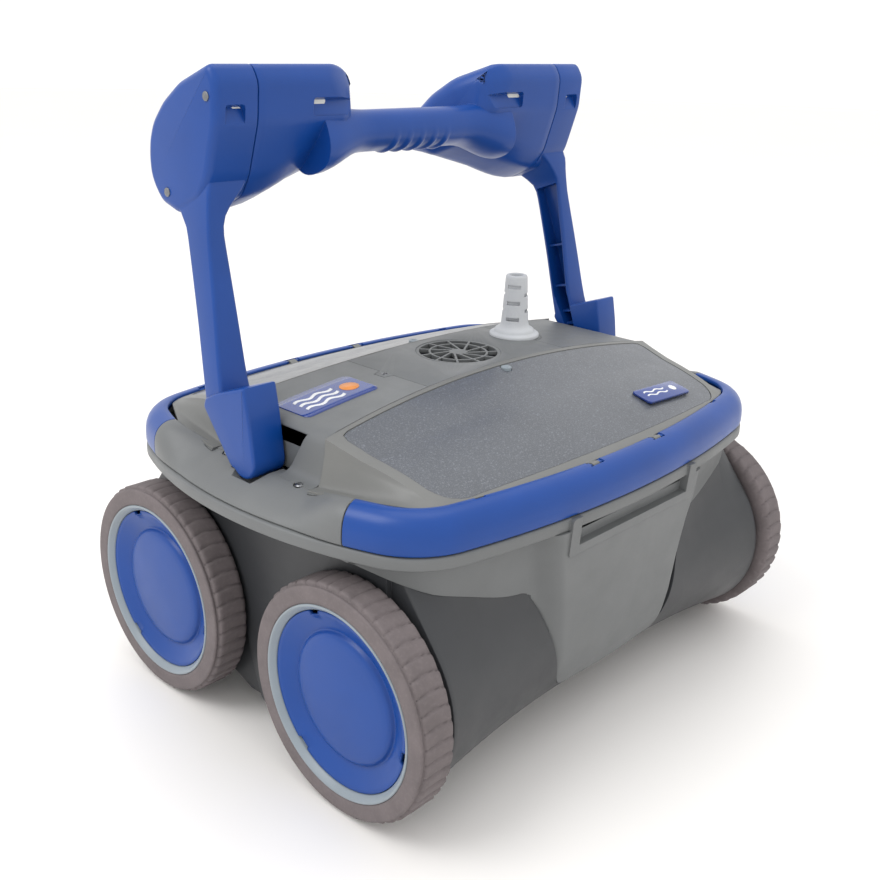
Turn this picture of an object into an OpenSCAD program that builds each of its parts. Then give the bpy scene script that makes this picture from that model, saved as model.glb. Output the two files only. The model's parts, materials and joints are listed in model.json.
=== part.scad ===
// Four-wheeled robotic pool cleaner with a tilting float handle and two filter doors.
// +X is to the right seen from the front, -Y is the front, Z is up from the floor.

/* [Wheels] */
// Diameter over the tread
wheel_d = 160; // [140:1:180]
// Width of a tyre
tyre_w = 27; // [22:1:32]
// Radial thickness of a tyre
tyre_t = 14.4; // [11:0.2:18]
// Distance between the outer faces of the left and right tyres
track_w = 428.6; // [400:1:460]
// Distance between the two axles
wheelbase = 201.4; // [185:1:220]
// Number of cross ribs moulded in the tread
tread_ribs = 47; // [30:1:60]
// Diameter of the axles
axle_d = 12; // [8:1:16]

/* [Body] */
// Width over the rim of the upper hull
body_w = 441; // [420:1:480]
// Length over the bumpers
body_l = 344; // [330:1:380]
// Height of the rim's lower edge
rim_z = 176; // [172:1:190]
// Height of the rim band
rim_h = 30; // [26:1:36]
// Drop of the side ledges below the top of the rim band
ledge_drop = 5.5; // [3:0.5:8]
// Height of the crowned top at its middle
deck_z = 245; // [238:1:260]
// Radius of the crowned top
crown_r = 1163; // [900:10:2000]
// Wall thickness of the hull mouldings
wall = 3; // [2:0.5:4]
// Gap at each visible joint line
seam = 0.4; // [0.3:0.1:1]

/* [Handle] */
// Angle at which the handle leans back at rest
lean = 20.2; // [10:0.2:25]
// Height of the handle pivot
pivot_z = 207.5; // [205:0.5:212]
// Length from the pivot to the top of the floats
handle_h = 242; // [225:1:260]
// Diameter of the handle pivot pins
pivot_d = 10; // [6:1:12]

/* [Hidden] */
$fn = 64;

blue = "#2257a8";
grey = "#7f8080";
pale = "#8c8c88";
dark = "#434548";
tyre_c = "#6a6062";
ring_c = "#9faab0";

// Rim outline: a side arc, a corner arc and a front arc, tangent to each other
half_w = body_w / 2;
half_l = body_l / 2;
side_r = 343;
front_r = 761;
corner_r = 56;
side_cx = half_w - side_r;
front_cy = half_l - front_r;
p = side_r - corner_r;
q = front_r - corner_r;
lin_a = (p * p - q * q - side_cx * side_cx + front_cy * front_cy) / (-2 * side_cx);
lin_b = front_cy / side_cx;
quad_a = lin_b * lin_b + 1;
quad_b = 2 * (lin_a * lin_b - front_cy);
quad_c = lin_a * lin_a + front_cy * front_cy - q * q;
corner_cy = (-quad_b + sqrt(quad_b * quad_b - 4 * quad_a * quad_c)) / (2 * quad_a);
corner_cx = lin_a + lin_b * corner_cy;
side_end = atan2(corner_cy, corner_cx - side_cx);
front_start = atan2(corner_cy - front_cy, corner_cx);

// Bumpers
bumper_t = 14;
bumper_lip = 17;
bumper_z = rim_z + 9;
bumper_top = rim_z + 34.5;
bumper_y = 100;
bumper_end = asin(bumper_y / side_r);

// Wheels and hull ends
wheel_r = wheel_d / 2;
tyre_out = track_w / 2;
tyre_in = tyre_out - tyre_w;
ring_r = wheel_r - tyre_t;
axle_y = wheelbase / 2;
barrel_end = tyre_in - 5.7;
barrel_waist = wheel_r - 18;
barrel_r = wheel_r - 7.3;
skirt_x = tyre_in - 1.4;
bush_r = axle_d / 2 + 5;
bush_gap = 0.05;
well_x = 165;
well_y = 150;

// Deck
ridge_half = 177;
ridge_y = 40;
ridge_flare = 10;
ridge_arc = ridge_half * ridge_half / (2 * ridge_flare);
rim_top = rim_z + rim_h;
ledge_z = rim_top - ledge_drop;
ledge_x = 190.5;
ledge_slope = 15;
screw_x = 186;
screw_y = 38;
plate_x = 75;
grille_r = 31.5;
boot_x = 75;
boot_y = 8;
boot_flange = 20;
boot_bore = 5;
window_x = 150;
window_front = -142;
window_band = 3.5;
window_r = 24;
badge_x = 130;
badge_l = 64;
badge_w = 36;
badge_proud = 0.6;
badge_sunk = 1.6;
latch_r = 4;
latch_y = -48;
door_gap = 1;
door_relief = 2.5;
hinge_y = -half_l + bumper_lip - 2.2;
hinge_z = bumper_top - 2.5;
hinge_r = 1.1;
knuckle_r = 2.3;
knuckle_x = 36;
knuckle_w = 7;
bracket_w = 2.5;
bracket_y = 1.8;
hinge_gap = 0.4;

// Handle, drawn upright about its pivot and then leaned back
pivot_y = 3.5;
foot_in = 174;
foot_out = 200;
foot_r = 12.5;
float_out = 185;
float_seam = 152;
float_in = 60;
float_wall = 2.5;
float_core = 92;
foam_h = 44;

// Drive
pulley_r = 16;
drive_z = wheel_r + 34;
belt_x = 150;
belt_w = 10;
belt_t = 2;
shaft_r = 4;
box_x = 76;
box_y = 38;
box_z = 30;
box_h = 122;
floor_z = 16 + wall;
pump_r = 25;

function arc(cx, cy, r, a0, a1, n) =
  [for (i = [0:n]) let (a = a0 + (a1 - a0) * i / n) [cx + r * cos(a), cy + r * sin(a)]];
function quarter(d, from = 0) = concat(
  arc(side_cx, 0, side_r - d, from, side_end, 4),
  arc(corner_cx, corner_cy, corner_r - d, side_end + 4, front_start - 4, 7),
  arc(0, front_cy, front_r - d, front_start, 90, 4)
);
function flip(pts) = [for (i = [len(pts) - 1:-1:0]) pts[i]];
function half_outline(d, from = 0) = concat(
  quarter(d, from),
  [for (pt = flip(quarter(d, from))) if (pt.x > 0.001) [-pt.x, pt.y]]
);
function outline(d) = concat(
  half_outline(d),
  [for (pt = flip(half_outline(d))) if (pt.y > 0.001) [pt.x, -pt.y]]
);
function crown(x) = deck_z - crown_r + sqrt(crown_r * crown_r - x * x);
function front_y(x, d) = abs(x) < corner_cx
  ? front_cy + sqrt(pow(front_r - d, 2) - x * x)
  : corner_cy + sqrt(max(0, pow(corner_r - d, 2) - pow(abs(x) - corner_cx, 2)));
function ridge_edge(x) = ridge_y + x * x / (2 * ridge_arc);
function rounded(w, l, r) = [for (k = [0:3]) each arc(
  (k == 0 || k == 3 ? 1 : -1) * (w / 2 - r), (k < 2 ? 1 : -1) * (l / 2 - r), r, k * 90, k * 90 + 90, 4
)];
function mix(a, b, t) = a + (b - a) * t;

module plan(d) polygon(outline(d));

// Closed solid through a list of rings with the same number of points
module loft(rings) {
  n = len(rings[0]);
  last = len(rings) - 1;
  polyhedron(
    points = [for (ring = rings) for (pt = ring) pt],
    faces = concat(
      [[for (j = [0:n - 1]) j]],
      [[for (j = [n - 1:-1:0]) last * n + j]],
      [for (i = [0:last - 1]) for (j = [0:n - 1]) let (k = (j + 1) % n)
        [i * n + j, (i + 1) * n + j, (i + 1) * n + k, i * n + k]]
    ),
    convexity = 8
  );
}

// Sheet of even height below a grid of top points
module slab(grid, t) {
  rows = len(grid);
  cols = len(grid[0]);
  n = rows * cols;
  polyhedron(
    points = concat(
      [for (row = grid) for (pt = row) pt],
      [for (row = grid) for (pt = row) [pt.x, pt.y, pt.z - t]]
    ),
    faces = concat(
      [for (i = [0:rows - 2]) for (j = [0:cols - 2]) let (k = i * cols + j)
        each [[k, k + 1, k + cols + 1], [k, k + cols + 1, k + cols]]],
      [for (i = [0:rows - 2]) for (j = [0:cols - 2]) let (k = n + i * cols + j)
        each [[k, k + cols + 1, k + 1], [k, k + cols, k + cols + 1]]],
      [for (j = [0:cols - 2]) [j, n + j, n + j + 1, j + 1]],
      [for (j = [0:cols - 2]) let (k = (rows - 1) * cols + j) [k, k + 1, n + k + 1, n + k]],
      [for (i = [0:rows - 2]) let (k = i * cols) [k, k + cols, n + k + cols, n + k]],
      [for (i = [0:rows - 2]) let (k = i * cols + cols - 1) [k, n + k, n + k + cols, k + cols]]
    ),
    convexity = 8
  );
}

module along_x(x0, x1) translate([x0, 0, 0]) rotate([90, 0, 90]) linear_extrude(x1 - x0) children();
module along_y(y0, y1) translate([0, y1, 0]) rotate([90, 0, 0]) linear_extrude(y1 - y0) children();
module rod_x(x0, x1, r, y = 0, z = 0) translate([x0, y, z]) rotate([0, 90, 0]) cylinder(r = r, h = x1 - x0);
module both_y() {
  children();
  mirror([0, 1, 0]) children();
}
module both_x() {
  children();
  mirror([1, 0, 0]) children();
}

// ---- Hull ----
function barrel_rim(x, d) = barrel_waist - d + (barrel_r - barrel_waist) * pow(max(0, abs(x) - 50) / (barrel_end - 50), 2);
module barrel(d) {
  half = barrel_end - d;
  translate([0, -axle_y, wheel_r])
    rotate([0, 90, 0])
      rotate_extrude()
        polygon(concat(
          [[0, -half]],
          [for (i = [-6:6]) [barrel_rim(half * i / 6, d), half * i / 6]],
          [[0, half]]
        ));
}

// Side profile of the tub: a narrow skirt between the wheels, wide above them
module tub_profile(d) {
  offset_y = 120 - d;
  polygon([
    [-offset_y, rim_z - 0.2], [-offset_y, wheel_r + 55], [-28 + d, wheel_r + 6],
    [-22 + d, 50], [-10 + d, 14 + d], [10 - d, 14 + d], [22 - d, 50],
    [28 - d, wheel_r + 6], [offset_y, wheel_r + 55], [offset_y, rim_z - 0.2]
  ]);
}
// Everything above the joint between the lower hull and the front shoulders
module above_seam(gap) {
  along_y(-300, 300)
    polygon([[-260, rim_z + 22 + gap], [-202, rim_z - 2 + gap], [-138, 144 + gap], [-100, 134 + gap],
      [100, 134 + gap], [138, 144 + gap], [202, rim_z - 2 + gap], [260, rim_z + 22 + gap], [260, 400], [-260, 400]]);
}
module front_wedge(d) {
  along_x(-barrel_end + d, barrel_end - d)
    polygon([[-99, 60 + d], [-99, rim_z - 0.2], [-157 + d, rim_z - 0.2], [-158.5 + d, 134], [-159.2 + d, 96], [-140, 60 + d]]);
}
module hull_form(d) {
  both_y() barrel(d);
  both_y() difference() {
    front_wedge(d);
    translate([0, 0, -seam - d]) above_seam(0);
  }
  along_x(-skirt_x + d, skirt_x - d) tub_profile(d);
  translate([-150 + d, -axle_y, 16 + d]) cube([300 - 2 * d, wheelbase, 100]);
}
module intake_mouth() translate([-80, -64, 0]) cube([160, 24, 40]);
module lower_hull() {
  color(dark) difference() {
    hull_form(0);
    intersection() {
      hull_form(wall);
      translate([-300, -300, 0]) cube([600, 600, rim_z - 12]);
    }
    translate([-well_x, -well_y, 60]) cube([2 * well_x, 2 * well_y, 200]);
    both_y() intake_mouth();
    for (sy = [-1, 1]) rod_x(-barrel_end - 1, barrel_end + 1, bush_r, sy * axle_y, wheel_r);
  }
}

module bumper_zone(grow) {
  a = bumper_end - grow;
  both_y() polygon([
    [side_cx + 200 * cos(a), 200 * sin(a)], [side_cx + 420 * cos(a), 420 * sin(a)], [400, 400],
    [-400, 400], [-side_cx - 420 * cos(a), 420 * sin(a)], [-side_cx - 200 * cos(a), 200 * sin(a)]
  ]);
}
module rim_ring() {
  difference() {
    translate([0, 0, rim_z]) linear_extrude(rim_h) plan(0);
    translate([0, 0, rim_z - 1]) linear_extrude(rim_h + 2) plan(bumper_lip);
    translate([0, 0, bumper_z - 0.2]) linear_extrude(rim_h) difference() {
      intersection() {
        plan(-1);
        bumper_zone(0.1);
      }
      plan(bumper_t + 0.2);
    }
    translate([0, 0, rim_top - door_relief]) linear_extrude(10) intersection() {
      plan(-1);
      bumper_zone(0.1);
    }
    translate([0, 0, rim_z - 1]) linear_extrude(8) difference() {
      plan(wall);
      plan(bumper_t);
      bumper_zone(3);
    }
  }
}
module shoulders() {
  both_y() intersection() {
    above_seam(0);
    difference() {
      translate([0, 0, 100]) linear_extrude(rim_z - 99.9) plan(10);
      translate([0, 0, 90]) linear_extrude(rim_z - 80) plan(10 + wall);
      translate([-300, -120.3, 0]) cube([600, 500, 400]);
    }
  }
}
module apron_outline() {
  polygon([[-77, bumper_z], [-75, 150], [-72, 120], [-69, 80], [-64, 54], [-60, 50],
    [60, 50], [64, 54], [69, 80], [72, 120], [75, 150], [77, bumper_z]]);
}
module apron() {
  difference() {
    intersection() {
      along_x(-80, 80) polygon([[-120, bumper_z - 0.4], [-170.5, bumper_z - 0.4], [-164, 120], [-155.5, 50], [-120, 50]]);
      along_y(-200, -100) apron_outline();
    }
    rod_x(-90, 90, barrel_waist + seam + 0.9, -axle_y, wheel_r);
    along_x(-90, 90) polygon([[-100, 40], [-159.8, 70], [-159.8, 134 - seam], [-162, 138], [-163, 150], [-155, 300], [-100, 300]]);
    translate([-64, -180, rim_z - 13]) cube([128, 12, 30]);
  }
  translate([-70, -163.5, rim_z - 18]) cube([140, 5, 18]);
}
module side_slope() {
  deck_half = ridge_y + ridge_flare;
  both_x() along_y(-deck_half, deck_half)
    polygon([[ridge_half, ledge_z], [ledge_x, ledge_z], [half_w, ledge_z - ledge_slope], [half_w + 9, ledge_z], [half_w, 300], [ridge_half, 300]]);
}
module side_deck() {
  deck_half = ridge_y + ridge_flare;
  both_x() intersection() {
    union() {
      translate([ridge_half + seam, -deck_half, ledge_z - wall]) cube([40, 2 * deck_half, wall]);
      translate([ledge_x, 8 - bumper_y, ledge_z - wall]) cube([40, 2 * bumper_y - 16, wall]);
    }
    translate([0, 0, rim_z]) linear_extrude(100) plan(4);
  }
}
module upper_hull() {
  color(grey) difference() {
    union() {
      rim_ring();
      shoulders();
      both_y() apron();
      side_deck();
    }
    side_slope();
    both_x() translate([0, pivot_y, pivot_z]) rod_x(foot_in - 2, foot_out + 1, foot_r + 2);
    both_x() translate([foot_in - 2, pivot_y - 12, pivot_z - 8]) cube([30, 44, 30]);
    rim_screw_holes();
  }
}

// ---- Bumpers ----
bumper_section = [
  [0.8, bumper_z], [0, bumper_z + 4], [0, bumper_z + 10], [1.4, bumper_z + 16], [4.6, bumper_z + 21],
  [9.5, bumper_z + 24.3], [bumper_lip - 1, bumper_top], [bumper_lip, bumper_top - 1], [bumper_lip, bumper_top - 3],
  [bumper_t, bumper_top - 3.5], [bumper_t, bumper_z]
];
module bumper() {
  rings = [for (pt = bumper_section) half_outline(pt[0], bumper_end)];
  loft(flip([for (i = [0:len(rings[0]) - 1])
    [for (j = [0:len(rings) - 1]) [rings[j][i].x, rings[j][i].y, bumper_section[j][1]]]]));
}
module hinge_notches() {
  half = bracket_x + bracket_w + hinge_gap;
  at_hinges() translate([-half, -knuckle_r - 2 * hinge_gap, -bracket_h - hinge_gap]) cube([2 * half, 20, 30]);
}
module notched_bumper() {
  difference() {
    mirror([0, 1, 0]) bumper();
    hinge_notches();
  }
}
module front_bumper() color(blue) notched_bumper();
module rear_bumper() color(blue) mirror([0, 1, 0]) notched_bumper();

// ---- Crowned ridge ----
module crown_solid(d) {
  translate([0, 0, deck_z - crown_r]) rotate([90, 0, 0])
    cylinder(r = crown_r - d, h = 200, center = true, $fn = 1200);
}
module ridge_ends(d) {
  along_y(-100, 100) polygon([[-ridge_half + d, ledge_z - d], [-ridge_half + d, 400], [ridge_half - d, 400],
    [ridge_half - d, ledge_z - d], [0, ledge_z - 30]]);
}
module ridge_plan(d) {
  difference() {
    translate([-ridge_half - 2, -70]) square([2 * ridge_half + 4, 140]);
    for (sy = [-1, 1]) translate([0, sy * (ridge_y + ridge_arc - d)]) circle(r = ridge_arc, $fn = 400);
  }
}
module ridge(d) {
  intersection() {
    crown_solid(d);
    ridge_ends(d);
    translate([0, 0, ledge_z - 8 - d]) linear_extrude(80) ridge_plan(d);
  }
}
module ridge_shell() {
  difference() {
    ridge(0);
    ridge(wall);
    translate([-300, -100, 0]) cube([600, 200, ledge_z]);
  }
}
module centre_region(gap) {
  x = plate_x + gap;
  linear_extrude(300) polygon([[-x, -80], [-x, -7], [-x - 7, -5], [-x - 7, 5], [-x, 7], [-x, 80], [x, 80], [x, -80]]);
  translate([boot_x, boot_y, 150]) cylinder(r = boot_flange + 2 + gap, h = 150);
}
module screw_hole(x, y) translate([x, y, crown(x) - 14]) cylinder(r = 1.6, h = 30);
module ridge_centre() {
  color(grey) difference() {
    intersection() {
      ridge_shell();
      union() centre_region(0);
    }
    translate([0, 0, deck_z - 20]) cylinder(r = grille_r + 1, h = 40);
    translate([boot_x, boot_y, deck_z - 20]) cylinder(r = 9, h = 40);
    screw_hole(-plate_x - 1, 0);
  }
}
pocket_x = foot_in - 1.5;
module pocket_profile() polygon([[-14, rim_top - 10], [-42, 252], [-20, 290], [50, 290], [56, 236], [20, rim_top - 10]]);
module ridge_side() {
  difference() {
    union() {
      intersection() {
        ridge_shell();
        translate([plate_x - 20, -90, 0]) cube([200, 180, 400]);
      }
      intersection() {
        ridge(1);
        along_x(pocket_x - wall, pocket_x) offset(delta = 6) pocket_profile();
        translate([0, -100, ledge_z]) cube([300, 200, 100]);
      }
      rod_x(pocket_x - 10, pocket_x, pivot_d / 2 + 4, pivot_y, pivot_z);
    }
    translate([0, pivot_y, pivot_z]) rod_x(pocket_x, 230, foot_r + 2.5);
    along_x(pocket_x, 230) pocket_profile();
    rod_x(pocket_x - 20, pocket_x + 10, pivot_d / 2, pivot_y, pivot_z);
  }
}
module ridge_right() {
  color(grey) difference() {
    ridge_side();
    centre_region(seam);
  }
}
module ridge_left() {
  color(grey) difference() {
    mirror([1, 0, 0]) ridge_side();
    centre_region(seam);
    difference() {
      translate([-badge_x, 0, 200]) linear_extrude(100) polygon(rounded(badge_l + 0.4, badge_w + 0.4, 5.2));
      crown_solid(badge_sunk);
    }
  }
}
module shoulder_badge() {
  color("#1c3f8c") difference() {
    intersection() {
      translate([-badge_x, 0, 200]) linear_extrude(100) polygon(rounded(badge_l, badge_w, 5));
      crown_solid(-badge_proud);
    }
    crown_solid(badge_sunk);
  }
}
bar_h = 3;
bar_w = 1.6;
spokes = 11;
spoke_offset = 4.2;
mid_ring_r = 22.6;
hub_disc_r = 7;
module hoop(r, w, h) difference() {
  cylinder(r = r, h = h);
  translate([0, 0, -1]) cylinder(r = r - w, h = h + 2);
}
module outlet_grille() {
  top = deck_z - 0.4;
  color(grey) difference() {
    union() {
      translate([0, 0, top - 4]) hoop(grille_r + 0.8, 2.4, 4);
      translate([0, 0, top - bar_h]) hoop(mid_ring_r, bar_w, bar_h);
      translate([0, 0, top - bar_h]) cylinder(r = hub_disc_r, h = bar_h);
      for (i = [0:spokes - 1]) rotate([0, 0, i * 360 / spokes])
        translate([3, -spoke_offset, top - bar_h]) cube([grille_r - 3.6, bar_w, bar_h]);
    }
    translate([0, 0, top]) cylinder(r = 60, h = 5);
  }
}
module outlet_duct() {
  color(dark) translate([0, 0, box_z + box_h + 8]) difference() {
    cylinder(r = grille_r + 0.4, h = deck_z - 4.4 - box_z - box_h - 8);
    translate([0, 0, -1]) cylinder(r = grille_r - 1.6, h = 100);
  }
}
boot_top_r = 8.3;
boot_root_r = 11.2;
boot_neck_r = 8.8;
boot_slots = 5;
slot_pitch = 6.4;
slot_w = 4.4;
slot_h = 3;
module cable_boot() {
  base = crown(boot_x - boot_flange) + 0.1;
  color("#b9bcc0") translate([boot_x, boot_y, 0]) difference() {
    union() {
      translate([0, 0, base - 14]) cylinder(r = boot_neck_r, h = 16);
      translate([0, 0, base]) cylinder(r = boot_flange, h = 2.5);
      translate([0, 0, base + 2.5]) cylinder(r1 = 15.5, r2 = 14, h = 4);
      translate([0, 0, base + 6.5]) cylinder(r1 = boot_root_r, r2 = boot_top_r, h = 42);
    }
    translate([0, 0, base - 20]) cylinder(r = boot_bore, h = 100);
    for (i = [0:boot_slots - 1]) for (side = [0, 180]) rotate([0, 0, i % 2 * 90 + side])
      translate([6, -slot_w / 2, base + 12 + i * slot_pitch]) cube([14, slot_w, slot_h]);
  }
}
module ridge_screw() {
  color("#3a3c40") translate([-plate_x - 1, 0, crown(plate_x) - 10.6]) {
    cylinder(r = 1.5, h = 12);
    translate([0, 0, 11]) difference() {
      cylinder(r = 3.4, h = 2.4);
      translate([-2.2, -0.5, 1.4]) cube([4.4, 1, 2]);
    }
  }
}
module rim_screw_at() for (sx = [-1, 1]) for (sy = [-1, 1]) translate([sx * screw_x, sy * screw_y, 0]) children();
module rim_screw_holes() rim_screw_at() translate([0, 0, rim_z]) cylinder(r = 1.6, h = 40);
module rim_screws() {
  color("#3a3c40") rim_screw_at() {
    translate([0, 0, ledge_z - 12]) cylinder(r = 1.5, h = 13);
    translate([0, 0, ledge_z]) cylinder(r = 3.6, h = 1.6);
  }
}

// ---- Doors ----
// Columns of the door: plan position at the hinge edge and at the ridge edge
door_cols = 8;
door_rows = 5;
door_ledge = ledge_z + 1;
door_reach = side_r - bumper_lip - door_gap;
door_corner = [side_cx + door_reach * cos(bumper_end), door_reach * sin(bumper_end) - seam];
function door_point(i, t) =
  let (
    s = sign(i),
    k = abs(i),
    front_x = k <= door_cols ? 158 * k / door_cols : (k == door_cols + 1 ? 174 : door_corner.x),
    back_x = k <= door_cols ? (ridge_half - 1) * k / door_cols : (k == door_cols + 1 ? ridge_half + 3 : ledge_x - seam),
    fy = k > door_cols + 1 ? door_corner.y : front_y(front_x, bumper_lip + door_gap),
    by = (k <= door_cols ? ridge_edge(back_x) : ridge_y + ridge_flare + 0.5) + seam,
    x = s * mix(front_x, back_x, t),
    y = mix(fy, by, t),
    high = k <= door_cols ? crown(x) : door_ledge,
    low = bumper_top - (k <= door_cols ? 2 : 2.5)
  )
  [x, -y, mix(low, high, t)];
module door_slab(lift = 0, t = wall) {
  n = door_cols + 2;
  slab([for (i = [-n:n]) [for (j = [0:door_rows]) door_point(i, j / door_rows) + [0, 0, lift]]], t);
}
module window_plan(d) {
  r = window_r - d;
  x = window_x - d;
  hull() {
    for (s = [-1, 1]) translate([s * (x - r - 4), window_front + window_r]) circle(r = r, $fn = 32);
    for (u = [-1, 0, 1]) translate([u * (window_x - 8), -ridge_edge(window_x) * abs(u) - ridge_y * (1 - abs(u)) - window_band - 8])
      circle(r = 8 - d, $fn = 24);
  }
}
module door_frame() {
  difference() {
    door_slab();
    translate([0, 0, 150]) linear_extrude(150) window_plan(0);
    translate([0, latch_y, 200]) cylinder(r = latch_r + seam, h = 80);
  }
}
module at_hinges() for (s = [-1, 1]) translate([s * knuckle_x, hinge_y, hinge_z]) children();
module knuckles() {
  at_hinges() {
    rod_x(-knuckle_w / 2, knuckle_w / 2, knuckle_r);
    translate([-knuckle_w / 2, 0, -1.8]) cube([knuckle_w, 7.5, 2]);
  }
}
module hinged_frame() {
  difference() {
    union() {
      door_frame();
      knuckles();
    }
    at_hinges() rod_x(-knuckle_w, knuckle_w, hinge_r + bush_gap);
  }
}
module front_door_frame() color(pale) hinged_frame();
module rear_door_frame() color(pale) mirror([0, 1, 0]) hinged_frame();
module window() {
  difference() {
    intersection() {
      door_slab(-0.5, wall - 0.5);
      translate([0, 0, 150]) linear_extrude(150) window_plan(seam);
    }
    translate([0, latch_y, 200]) cylinder(r = latch_r + seam, h = 80);
  }
}
module front_window() color("#6b6f76") window();
module rear_window() color("#6b6f76") mirror([0, 1, 0]) window();
module front_plate() {
  color("#1c3f8c") translate([98, -120, 219]) rotate([14, 3, 0]) linear_extrude(2) polygon(rounded(54, 18, 3));
}
module latch() {
  translate([0, latch_y, 0]) {
    translate([0, 0, deck_z - 10]) cylinder(r = latch_r, h = 8.6);
    translate([0, 0, deck_z - 13]) cylinder(r = latch_r + 2, h = 3);
  }
}
module front_latch() color(ring_c) latch();
module rear_latch() color(ring_c) mirror([0, 1, 0]) latch();
bracket_x = knuckle_w / 2 + 2 * hinge_gap;
bracket_h = hinge_z - rim_top + door_relief;
module door_pins() {
  at_hinges() {
    rod_x(-bracket_x - bracket_w, bracket_x + bracket_w, hinge_r);
    for (e = [-bracket_x - bracket_w, bracket_x])
      translate([e, -bracket_y, -bracket_h]) cube([bracket_w, 2 * bracket_y, bracket_h + bracket_y]);
  }
}
module front_door_pins() color(blue) door_pins();
module rear_door_pins() color(blue) mirror([0, 1, 0]) door_pins();

// ---- Handle ----
module leaned() translate([0, pivot_y, pivot_z]) rotate([-lean, 0, 0]) children();
foot_profile = concat(
  [[-21.7, 46], [-18.5, 25.7], [-13, 2]],
  arc(0, 0, foot_r, 190, 340, 8),
  [[15.3, -2.4], [29.5, 40], [25.5, 45], [20, 46]]
);
float_profile = [
  [-47, handle_h], [-10, handle_h], [12, handle_h - 5], [29, handle_h - 13], [38, handle_h - 22],
  [44, handle_h - 33], [47, handle_h - 44], [46, handle_h - 53], [42, handle_h - 64], [26, handle_h - 76],
  [-3, handle_h - 74], [-17, handle_h - 64], [-40, handle_h - 35], [-50, handle_h - 13]
];
module arm_blade() {
  hull() {
    translate([foot_out - 27, -4, 45]) cube([25, 30, 1]);
    translate([float_out - 24, -9, handle_h - 72]) cube([24, 30, 1]);
  }
}
module arm() {
  leaned() difference() {
    union() {
      along_x(foot_in, foot_out) polygon(foot_profile);
      arm_blade();
      along_x(float_seam + seam, float_out) polygon(float_profile);
    }
    hull() {
      translate([foot_out - 29, -1, 30]) cube([20, 22, 1]);
      translate([float_out - 27, -5, handle_h - 80]) cube([18, 21, 1]);
    }
    along_x(float_seam - 1, float_out - float_wall) offset(delta = -float_wall) polygon(float_profile);
    rod_x(foot_in - 1, foot_out - 6, pivot_d / 2 + bush_gap);
    cap_screws(float_out + 1);
  }
}
module right_arm() color(blue) arm();
module left_arm() color(blue) mirror([1, 0, 0]) arm();
module float_shell() {
  difference() {
    intersection() {
      along_x(float_in - 15, float_seam) polygon(float_profile);
      linear_extrude(400)
        polygon([[float_seam + 1, -60], [86, -60], [69, -42], [float_in - 11, 48], [float_seam + 1, 60]]);
    }
    along_x(float_core, float_seam + 1) offset(delta = -float_wall) polygon(float_profile);
  }
}
grip_u = -17;
grip_v = 203;
grip_wide = 15;
grip_deep = 12.5;
finger_pitch = 14;
function oval(ru, rv, n) = [for (i = [0:n - 1]) [grip_u + ru * cos(i * 360 / n), grip_v + rv * sin(i * 360 / n)]];
module grip() {
  color(blue) leaned() {
    both_x() float_shell();
    along_x(-float_in - 8, float_in + 8) polygon(oval(grip_wide, grip_deep, 28));
    for (i = [-2:2]) translate([i * finger_pitch, grip_u, grip_v - 7])
      rotate([90, 0, 0]) cylinder(r = 8, h = 22, center = true);
  }
}
module float_block() {
  leaned() along_x(float_core + 1, float_out - 15) intersection() {
    offset(delta = -float_wall - 2) polygon(float_profile);
    translate([-60, handle_h - foam_h]) square([120, foam_h]);
  }
}
module right_float() color("#d9d9d2") float_block();
module left_float() color("#d9d9d2") mirror([1, 0, 0]) float_block();
module cap_screws(x1) {
  for (uv = [[-38, handle_h - 18], [30, handle_h - 60]]) rod_x(float_out - 1, x1, 3, uv[0], uv[1]);
}
module handle_screws() {
  color("#3a3c40") leaned() both_x() cap_screws(float_out + 0.8);
}
module handle_pins() {
  color("#9a9ea3") both_x() translate([0, pivot_y, pivot_z]) rod_x(pocket_x - 10, foot_out - 6.5, pivot_d / 2);
}

// ---- Wheels ----
module at_wheel(sx, sy) translate([0, sy * axle_y, wheel_r]) mirror([sx < 0 ? 1 : 0, 0, 0]) rotate([0, 90, 0]) children();
tread_base = wheel_r - 1.2;
step_r = wheel_r - 2.6;
module tyre_section() polygon([
  [ring_r, tyre_in], [wheel_r - 4, tyre_in], [tread_base, tyre_in + 2], [tread_base, tyre_out - 4],
  [step_r, tyre_out - 3], [step_r, tyre_out - 1], [wheel_r - 4, tyre_out], [ring_r, tyre_out]
]);
module tyre(sx, sy) {
  color(tyre_c) at_wheel(sx, sy) {
    rotate_extrude($fn = 96) tyre_section();
    for (i = [0:tread_ribs - 1]) rotate([0, 0, i * 360 / tread_ribs])
      translate([wheel_r - 3, -2.2, tyre_in + 1]) cube([3, 4.4, tyre_w - 6]);
  }
}
module wheel_rim(sx, sy) {
  color(ring_c) at_wheel(sx, sy) rotate_extrude($fn = 96) polygon([
    [axle_d / 2, tyre_in - 0.4], [14, tyre_in - 0.4], [14, tyre_in + 8], [ring_r - 6, tyre_in + 8],
    [ring_r - 6, tyre_in + 1], [ring_r, tyre_in + 1], [ring_r, tyre_out], [ring_r - 1.2, tyre_out + 0.2],
    [ring_r - 4.6, tyre_out - 3.4], [ring_r - 4.6, tyre_in + 11], [14, tyre_in + 11], [14, tyre_in + 14], [axle_d / 2, tyre_in + 14]
  ]);
}
module wheel_cover(sx, sy) {
  r = ring_r - 4.9;
  color(blue) at_wheel(sx, sy) difference() {
    rotate_extrude($fn = 96) polygon([
      [0, tyre_out - 12.5], [44, tyre_out - 12.5], [r, tyre_out - 6.4], [r, tyre_out - 3.4],
      [46.5, tyre_out - 9.7], [44.5, tyre_out - 9.7], [40, tyre_out - 7.2], [24, tyre_out - 5.6], [0, tyre_out - 5]
    ]);
    for (a = [60, 180, 300]) rotate([0, 0, a]) translate([r - 2, -7, tyre_out - 20]) cube([6, 14, 30]);
  }
}
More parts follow.
